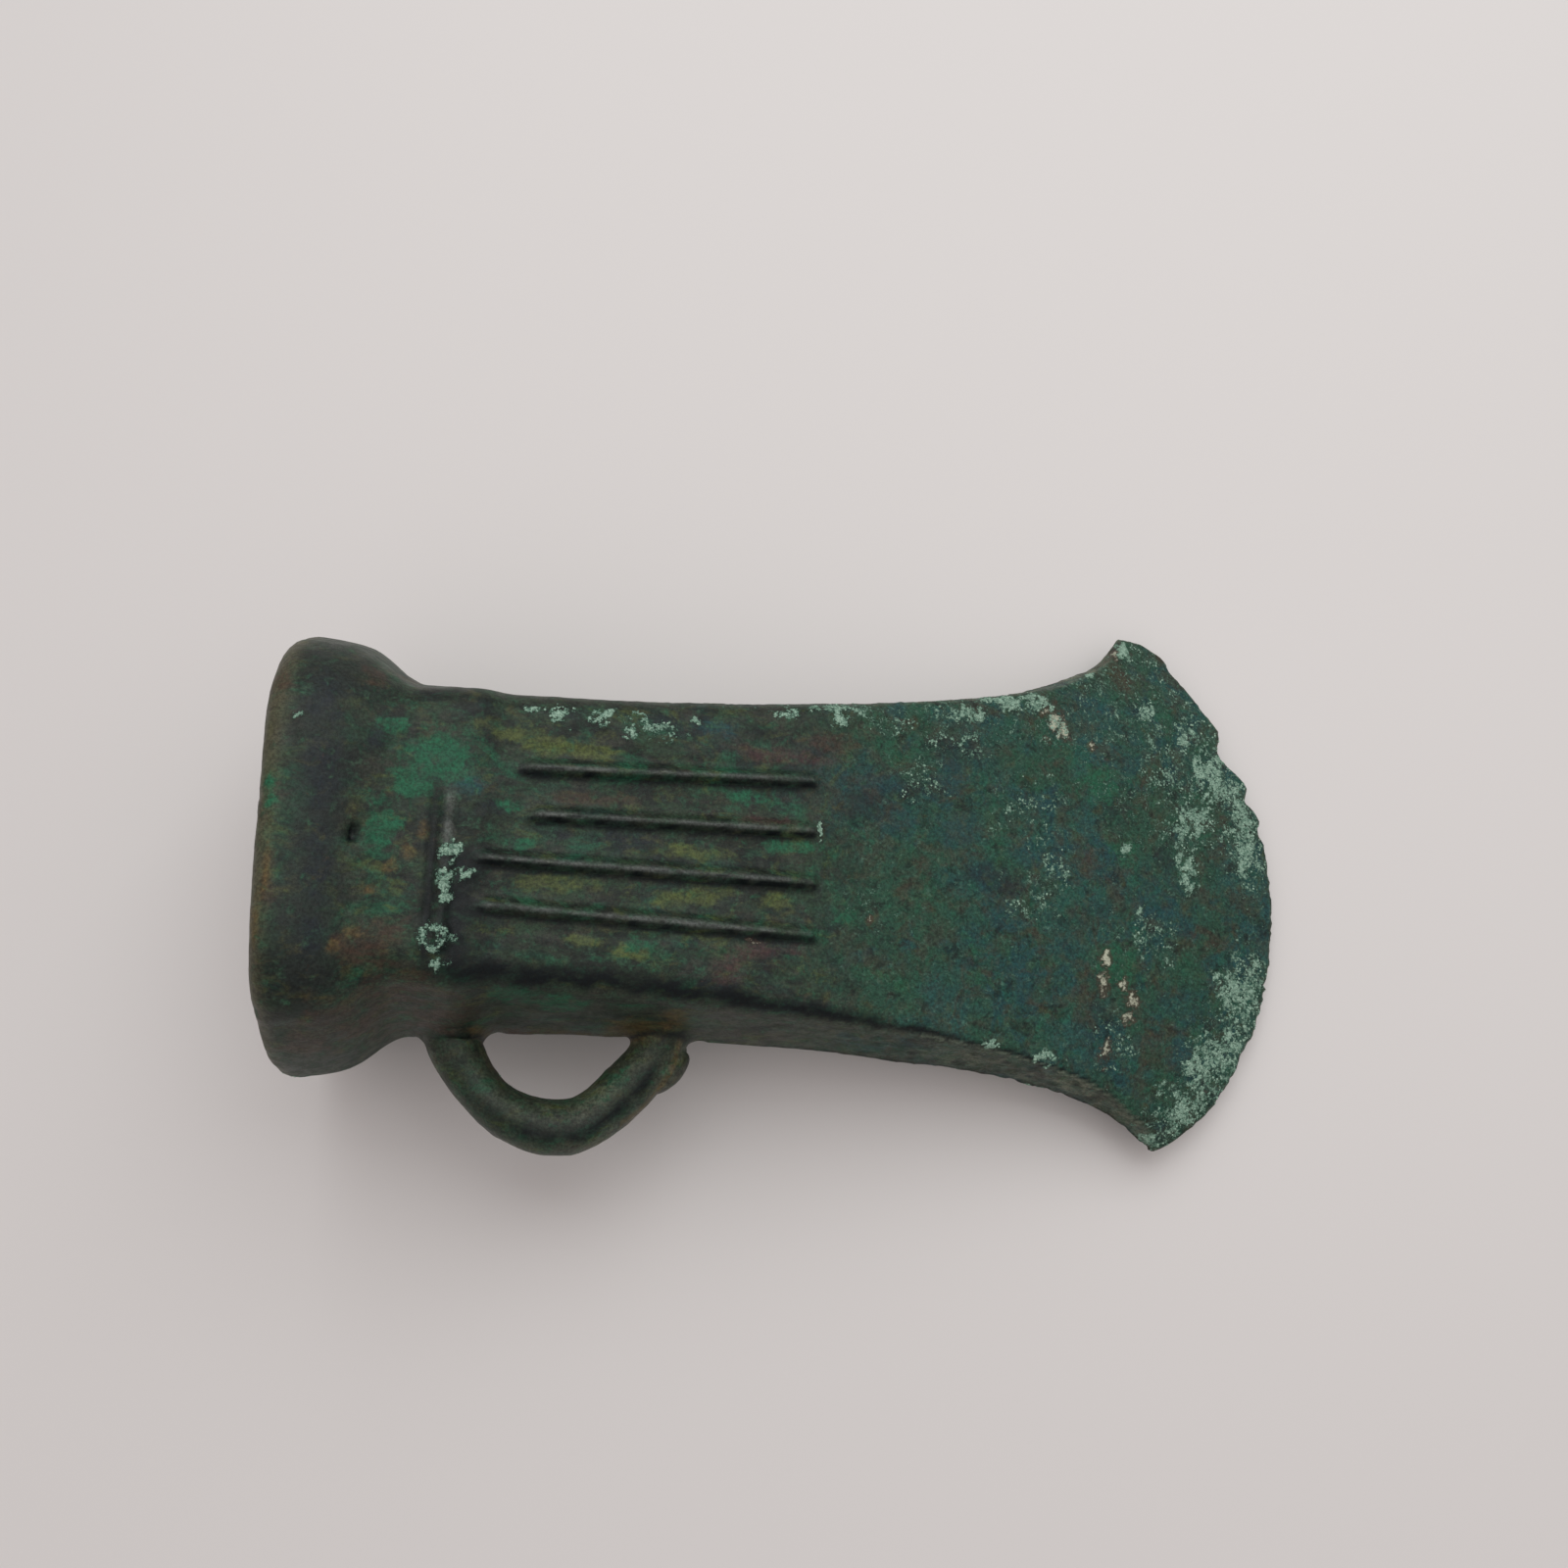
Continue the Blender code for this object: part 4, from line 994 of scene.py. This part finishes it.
# darker flare: partly dark patina, partly painted shade in the hollow of the flare
masks["flare"] = span(x, zones["flareStart"], zones["flareEnd"]) * outside
for name, mask in masks.items():
    attribute = axeHead.data.attributes.new(name, "FLOAT", "POINT")
    attribute.data.foreach_set("value", np.clip(mask, 0, 1).astype(np.float32))


# Finishes
def paint(red, green, blue):      # a colour as the eye sees it, 0..255, made linear for the shader
    channels = np.array([red, green, blue]) / 255
    return (*np.where(channels > 0.04045, ((channels + 0.055) / 1.055) ** 2.4, channels / 12.92), 1)


palette = {
    "socketDark": paint(22, 30, 24), "socketMoss": paint(36, 54, 38), "socketGrey": paint(50, 50, 44),
    "bladeGreen": paint(35, 69, 54), "bladeTeal": paint(33, 70, 66), "bladeBrown": paint(54, 57, 46),
    "emerald": paint(26, 86, 60), "olive": paint(74, 84, 42), "rust": paint(62, 45, 36),
    "ochre": paint(92, 74, 42), "midnight": paint(23, 30, 36), "teal": paint(24, 62, 68),
    "mint": paint(148, 176, 158), "mintDull": paint(80, 114, 98), "cream": paint(172, 176, 156),
    # the crests' pale grey is a painted highlight; the near-black is painted shade with some grime
    "wine": paint(66, 42, 44), "crest": paint(92, 96, 93), "hollow": paint(6, 14, 16),
    "earth": paint(56, 48, 36), "wall": paint(46, 57, 45), "wallPale": paint(114, 117, 100),
    # the lip's brown is partly a painted highlight, the flare's dark partly painted shade, and the pale
    # corner colour a painted highlight
    "rim": paint(84, 80, 62), "flare": paint(31, 37, 35), "line": paint(96, 106, 92),
}
textures = {      # noise: scale per mm, detail, roughness, shift, bend
    "slow": (0.10, 3, 0.6, 3.0), "blotch": (0.30, 6, 0.65, 11.0, 0.5),
    "fray": (0.60, 5, 0.62, 23.0, 0.5), "fineFray": (0.80, 5, 0.62, 67.0, 0.5),
    "grit": (3.2, 4, 0.75, 31.0), "lace": (0.85, 7, 0.82, 47.0, 0.8), "specks": (3.2, 4, 0.75, 53.0),
    "cream": (1.5, 6, 0.8, 97.0, 1.0), "crust": (1.6, 4, 0.6, 5.0),
}
levels = {        # from and to on the noise, then what that gives at both ends
    "moss": (0.42, 0.60), "bladeTeal": (0.42, 0.60), "bladeBrown": (0.50, 0.64, 0, 0.6),
    "wall": (0.40, 0.60, 0.38, 0.90), "stain": (0.10, 1.05), "wornStain": (0.38, 0.58, 0.55, 1.0),
    "crest": (0.36, 0.56, 0.25, 0.95), "shadeAndDirt": (0.32, 0.52, 0.60, 1.0), "line": (0.40, 0.58, 0.3, 0.95),
    "grit": (0.33, 0.67, 0.60, 1.46), "crust": (0.635, 0.675), "crustPale": (0.64, 0.79),
    "crustGrit": (0.35, 0.65, 0.70, 1.14), "creamEdge": (0.60, 0.70, 0, 0.6), "cream": (0.74, 0.88),
    "rough": (0.38, 0.62, 0.42, 0.55), "grain": (0, 1, 0.5, 1.0), "nodule": (0.36, 0.60),
}
patina = {
    "stretch": (0.55, 1.0, 1.0), "bladeStretch": 0.40,      # the grain runs along the socket, not the blade
    "flare": 0.8, "flareCalm": -0.75, "rim": 0.65, "fainterBlade": -0.25,
    "laceShare": 0.55, "speckShare": 0.45, "mintShare": 0.25, "bladeCrust": 0.03, "creamShare": 0.34,
    "bladeRough": 0.12, "crustRough": 0.85, "crustGrain": 0.5, "bumpStrength": 0.7, "bumpDistance": 0.00014,
    "specular": 0.22, "crustSpecular": 0.2,
}
mottleNoise = {"detail": 6, "rough": 0.66, "bend": 0.6}
wornNoise = {"scale": 1.3, "detail": 5, "rough": 0.7, "bend": 0.4}
mottleShift, wornShift = (71.0, 9), (131.0, 7)      # of the first layer, and further for each next one
stainLayers = (      # name, strength, fraying by noise, which of the two noises
    ("midnight", 0.88, 2.2, 0), ("teal", 0.75, 2.6, 1), ("rust", 0.70, 2.8, 0), ("wine", 0.70, 2.4, 1),
    ("ochre", 0.65, 2.2, 1), ("olive", 0.95, 2.4, 0), ("emerald", 0.90, 3.2, 1),
)
mottleLayers = (      # colour, scale per mm, levels, strength on the socket and on the blade
    ("teal", 0.16, 0.50, 0.62, 0.15, 0.70), ("rust", 0.22, 0.55, 0.68, 0.30, 0.60),
    ("midnight", 0.26, 0.54, 0.68, 0.35, 0.50),
    ("emerald", 0.28, 0.50, 0.66, 0.60, 0.40), ("socketGrey", 0.38, 0.50, 0.64, 0.65, 0.15),
    ("bladeBrown", 0.36, 0.50, 0.64, 0.30, 0.68), ("olive", 0.50, 0.54, 0.68, 0.50, 0.15),
    ("hollow", 0.55, 0.52, 0.68, 0.55, 0.65), ("emerald", 1.10, 0.54, 0.70, 0.40, 0.30),
    ("hollow", 1.60, 0.52, 0.68, 0.40, 0.45), ("mintDull", 1.90, 0.55, 0.70, 0.12, 0.50),
)


def placeInMm(nodes):
    return nodes.vector("SCALE", nodes.add("ShaderNodeTexCoord").outputs["Object"], mmPerMetre)


def crustField(nodes, place):      # where it is high, the skin is under pale crust
    lace = nodes.noise(place, *textures["lace"])
    specks = nodes.noise(place, *textures["specks"])
    field = nodes.timesPlus(lace, patina["laceShare"], nodes.times(specks, patina["speckShare"]))
    field = nodes.timesPlus(nodes.attribute("mint"), patina["mintShare"], field)
    return nodes.timesPlus(nodes.attribute("bladeZone"), patina["bladeCrust"], field)


def bronzeMaterial():
    material, shader = newFinish("green patinated bronze")
    nodes = Nodes(material.node_tree)
    place = placeInMm(nodes)
    drawn = nodes.vector("MULTIPLY", place, patina["stretch"])
    acrossBlade = nodes.add("ShaderNodeSeparateXYZ", {0: place}).outputs[0]
    even = nodes.times(nodes.math("MAXIMUM", acrossBlade, 0.0), patina["bladeStretch"])
    drawn = nodes.vector("ADD", drawn, nodes.add("ShaderNodeCombineXYZ", {0: even}).outputs[0])
    slow = nodes.noise(place, *textures["slow"])
    blotch = nodes.noise(drawn, *textures["blotch"])
    frays = nodes.noise(drawn, *textures["fray"]), nodes.noise(place, *textures["fineFray"])
    grit = nodes.noise(place, *textures["grit"])
    bladeShare = nodes.attribute("bladeZone")

    socket = nodes.blend(nodes.level(blotch, *levels["moss"]), palette["socketDark"], palette["socketMoss"])
    # partly dark patina, partly painted shade in the flare's hollow
    socket = nodes.blend(nodes.times(nodes.attribute("flare"), patina["flare"]), socket, palette["flare"])
    calm = nodes.timesPlus(nodes.attribute("flare"), patina["flareCalm"], 1.0)
    blade = nodes.blend(nodes.level(slow, *levels["bladeTeal"]), palette["bladeGreen"], palette["bladeTeal"])
    blade = nodes.blend(nodes.level(blotch, *levels["bladeBrown"]), blade, palette["bladeBrown"])
    colour = nodes.blend(bladeShare, socket, blade)
    # the pale wall colour, which on the loop is painted highlight and painted reflection
    wall = nodes.blend(nodes.attribute("wallPale"), palette["wall"], palette["wallPale"])
    wallShare = nodes.times(nodes.attribute("wallZone"), nodes.level(frays[0], *levels["wall"]))
    colour = nodes.blend(wallShare, colour, wall)
    for k, (name, scale, start, end, onSocket, onBlade) in enumerate(mottleLayers):
        mottle = nodes.noise(drawn, scale, shift=mottleShift[0] + mottleShift[1] * k, **mottleNoise)
        strength = nodes.times(nodes.level(bladeShare, 0, 1, onSocket, onBlade), calm)
        colour = nodes.blend(nodes.times(nodes.level(mottle, start, end), strength), colour, palette[name])
    # partly worn lip, partly a painted highlight
    colour = nodes.blend(nodes.times(nodes.attribute("rim"), patina["rim"]), colour, palette["rim"])
    fainter = nodes.timesPlus(bladeShare, patina["fainterBlade"], 1.0)
    for k, (name, strength, fray, which) in enumerate(stainLayers):
        ragged = nodes.timesPlus(frays[which], fray, -0.5 * fray)
        ragged = nodes.math("ADD", ragged, nodes.attribute(name))
        worn = nodes.noise(drawn, shift=wornShift[0] + wornShift[1] * k, **wornNoise)
        worn = nodes.level(worn, *levels["wornStain"])
        share = nodes.times(nodes.level(ragged, *levels["stain"], 0, strength), worn)
        colour = nodes.blend(nodes.times(share, fainter), colour, palette[name])
    # painted highlight on the rib crests
    crestShare = nodes.times(nodes.attribute("crest"), nodes.level(frays[0], *levels["crest"]))
    colour = nodes.blend(crestShare, colour, palette["crest"])
    # painted shade on the fold, in the grooves and on the loop, with some dirt
    shadeAndDirt = nodes.math("MAXIMUM", nodes.attribute("fold"), nodes.attribute("hollow"))
    shadeAndDirt = nodes.times(shadeAndDirt, nodes.level(frays[0], *levels["shadeAndDirt"]))
    colour = nodes.blend(shadeAndDirt, colour, palette["hollow"])
    # painted highlight along the lower corner
    lineShare = nodes.times(nodes.attribute("cornerHighlight"), nodes.level(frays[1], *levels["line"]))
    colour = nodes.blend(lineShare, colour, palette["line"])
    colour = nodes.blend(nodes.attribute("insideSocket"), colour, palette["earth"])
    colour = nodes.vector("SCALE", colour, nodes.level(grit, *levels["grit"]))

    field = crustField(nodes, place)
    crustShare = nodes.level(field, *levels["crust"])
    crustColour = nodes.blend(nodes.level(field, *levels["crustPale"]), palette["mintDull"], palette["mint"])
    crustColour = nodes.vector("SCALE", crustColour, nodes.level(grit, *levels["crustGrit"]))
    colour = nodes.blend(crustShare, colour, crustColour)
    creamNoise = nodes.noise(place, *textures["cream"])
    creamField = nodes.timesPlus(nodes.attribute("cream"), patina["creamShare"], creamNoise)
    colour = nodes.blend(nodes.level(creamField, *levels["creamEdge"]), colour, palette["rust"])
    colour = nodes.blend(nodes.level(creamField, *levels["cream"]), colour, palette["cream"])

    rough = nodes.timesPlus(bladeShare, patina["bladeRough"], nodes.level(frays[1], *levels["rough"]))
    rough = nodes.math("MAXIMUM", rough, nodes.times(crustShare, patina["crustRough"]))
    grain = nodes.times(grit, nodes.level(bladeShare, *levels["grain"]))
    height = nodes.timesPlus(crustShare, patina["crustGrain"], grain)
    bump = {"Strength": patina["bumpStrength"], "Distance": patina["bumpDistance"], "Height": height}
    bumped = nodes.add("ShaderNodeBump", bump).outputs["Normal"]
    nodes.feed(shader, {"Base Color": colour, "Roughness": rough, "Normal": bumped})
    shader.inputs["Specular IOR Level"].default_value = patina["specular"]
    return material


def crustMaterial():
    material, shader = newFinish("pale mint crust")
    nodes = Nodes(material.node_tree)
    tone = nodes.noise(placeInMm(nodes), *textures["crust"])
    colour = nodes.blend(nodes.level(tone, *levels["nodule"]), palette["mintDull"], palette["mint"])
    nodes.feed(shader, {"Base Color": colour})
    shader.inputs["Roughness"].default_value = patina["crustRough"]
    shader.inputs["Specular IOR Level"].default_value = patina["crustSpecular"]
    return material


axeHead.data.materials.clear()
axeHead.data.materials.append(bronzeMaterial())
axeHead.data.shade_smooth()
print("bronze finish ready")


# Nodules of crust, grown on the skin by Geometry Nodes
nodules = {
    "Density": 1.5e7,         # for each square metre
    "Threshold": 0.30,        # least share of crust on which nodules grow
    "Least field": 0.67,      # and least crust field, which is the shader's own
    "Least size": 0.00006, "Most size": 0.00015,
    "Flatness": 0.6, "Lumpiness": 0.00006, "Lump scale": 6000.0,
    "Seed": 7,
}


def noduleTree(material):
    tree = bpy.data.node_groups.new("grow nodules", "GeometryNodeTree")
    face = tree.interface
    face.new_socket("Geometry", in_out="INPUT", socket_type="NodeSocketGeometry")
    for name, value in nodules.items():
        kind = "NodeSocketInt" if isinstance(value, int) else "NodeSocketFloat"
        face.new_socket(name, in_out="INPUT", socket_type=kind)
    face.new_socket("Geometry", in_out="OUTPUT", socket_type="NodeSocketGeometry")
    nodes = Nodes(tree)
    given = nodes.add("NodeGroupInput").outputs
    crusted = nodes.math("GREATER_THAN", nodes.attribute("mint"), given["Threshold"])
    scatter = nodes.add("GeometryNodeDistributePointsOnFaces", {
        "Mesh": given["Geometry"], "Density": nodes.times(crusted, given["Density"]), "Seed": given["Seed"]})
    where = nodes.add("GeometryNodeInputPosition").outputs[0]
    field = crustField(nodes, nodes.vector("SCALE", where, mmPerMetre))
    bare = nodes.math("LESS_THAN", field, given["Least field"])
    chosen = {"Geometry": scatter.outputs["Points"], "Selection": bare}
    grown = nodes.add("GeometryNodeDeleteGeometry", chosen)
    grain = nodes.add("GeometryNodeMeshIcoSphere", {"Radius": 1.0, "Subdivisions": 1}).outputs["Mesh"]
    squash = nodes.add("ShaderNodeCombineXYZ", {0: 1.0, 1: 1.0, 2: given["Flatness"]}).outputs[0]
    flat = nodes.add("GeometryNodeTransform", {"Geometry": grain, "Scale": squash}).outputs["Geometry"]
    size = nodes.add("FunctionNodeRandomValue", {
        2: given["Least size"], 3: given["Most size"], "Seed": given["Seed"]}, data_type="FLOAT")
    outward = nodes.add("GeometryNodeInputNormal").outputs[0]
    placed = nodes.add("GeometryNodeInstanceOnPoints", {
        "Points": grown.outputs[0], "Instance": flat,
        "Rotation": scatter.outputs["Rotation"], "Scale": size.outputs[1]})
    real = nodes.add("GeometryNodeRealizeInstances", {"Geometry": placed.outputs[0]}).outputs[0]
    lumps = nodes.add("ShaderNodeTexNoise", {"Vector": where, "Scale": given["Lump scale"], "Detail": 1.0})
    push = nodes.times(nodes.math("SUBTRACT", lumps.outputs[0], 0.5), given["Lumpiness"])
    offset = nodes.vector("SCALE", outward, push)
    uneven = nodes.add("GeometryNodeSetPosition", {"Geometry": real, "Offset": offset})
    dressed = nodes.add("GeometryNodeSetMaterial", {"Geometry": uneven.outputs[0], "Material": material})
    nodes.add("NodeGroupOutput", {0: dressed.outputs[0]})
    return tree


def grow(name, host, tree, settings):      # runs the tree on a copy of the host and keeps the plain mesh
    seedling = addObject(name, host.data.copy())
    modifier = seedling.modifiers.new("grow", "NODES")
    modifier.node_group = tree
    sockets = {item.name: item.identifier for item in tree.interface.items_tree if item.in_out == "INPUT"}
    for label, value in settings.items():
        modifier[sockets[label]] = value
    grown = plainMesh(seedling)
    seedling.modifiers.remove(modifier)
    seedling.data = grown
    return seedling


mintCrust = grow("mintCrust", axeHead, noduleTree(crustMaterial()), nodules)
crustPoints = np.clip(readVectors(mintCrust.data, "co") * mmPerMetre, boxLow, boxHigh)
writePoints(mintCrust.data, crustPoints / mmPerMetre)
mintCrust.data.shade_smooth()
print("crust grown", len(mintCrust.data.polygons), "faces")


# Hand over to the frame
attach(axeHead, "root")
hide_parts("axe_head")
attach(mintCrust, "root")
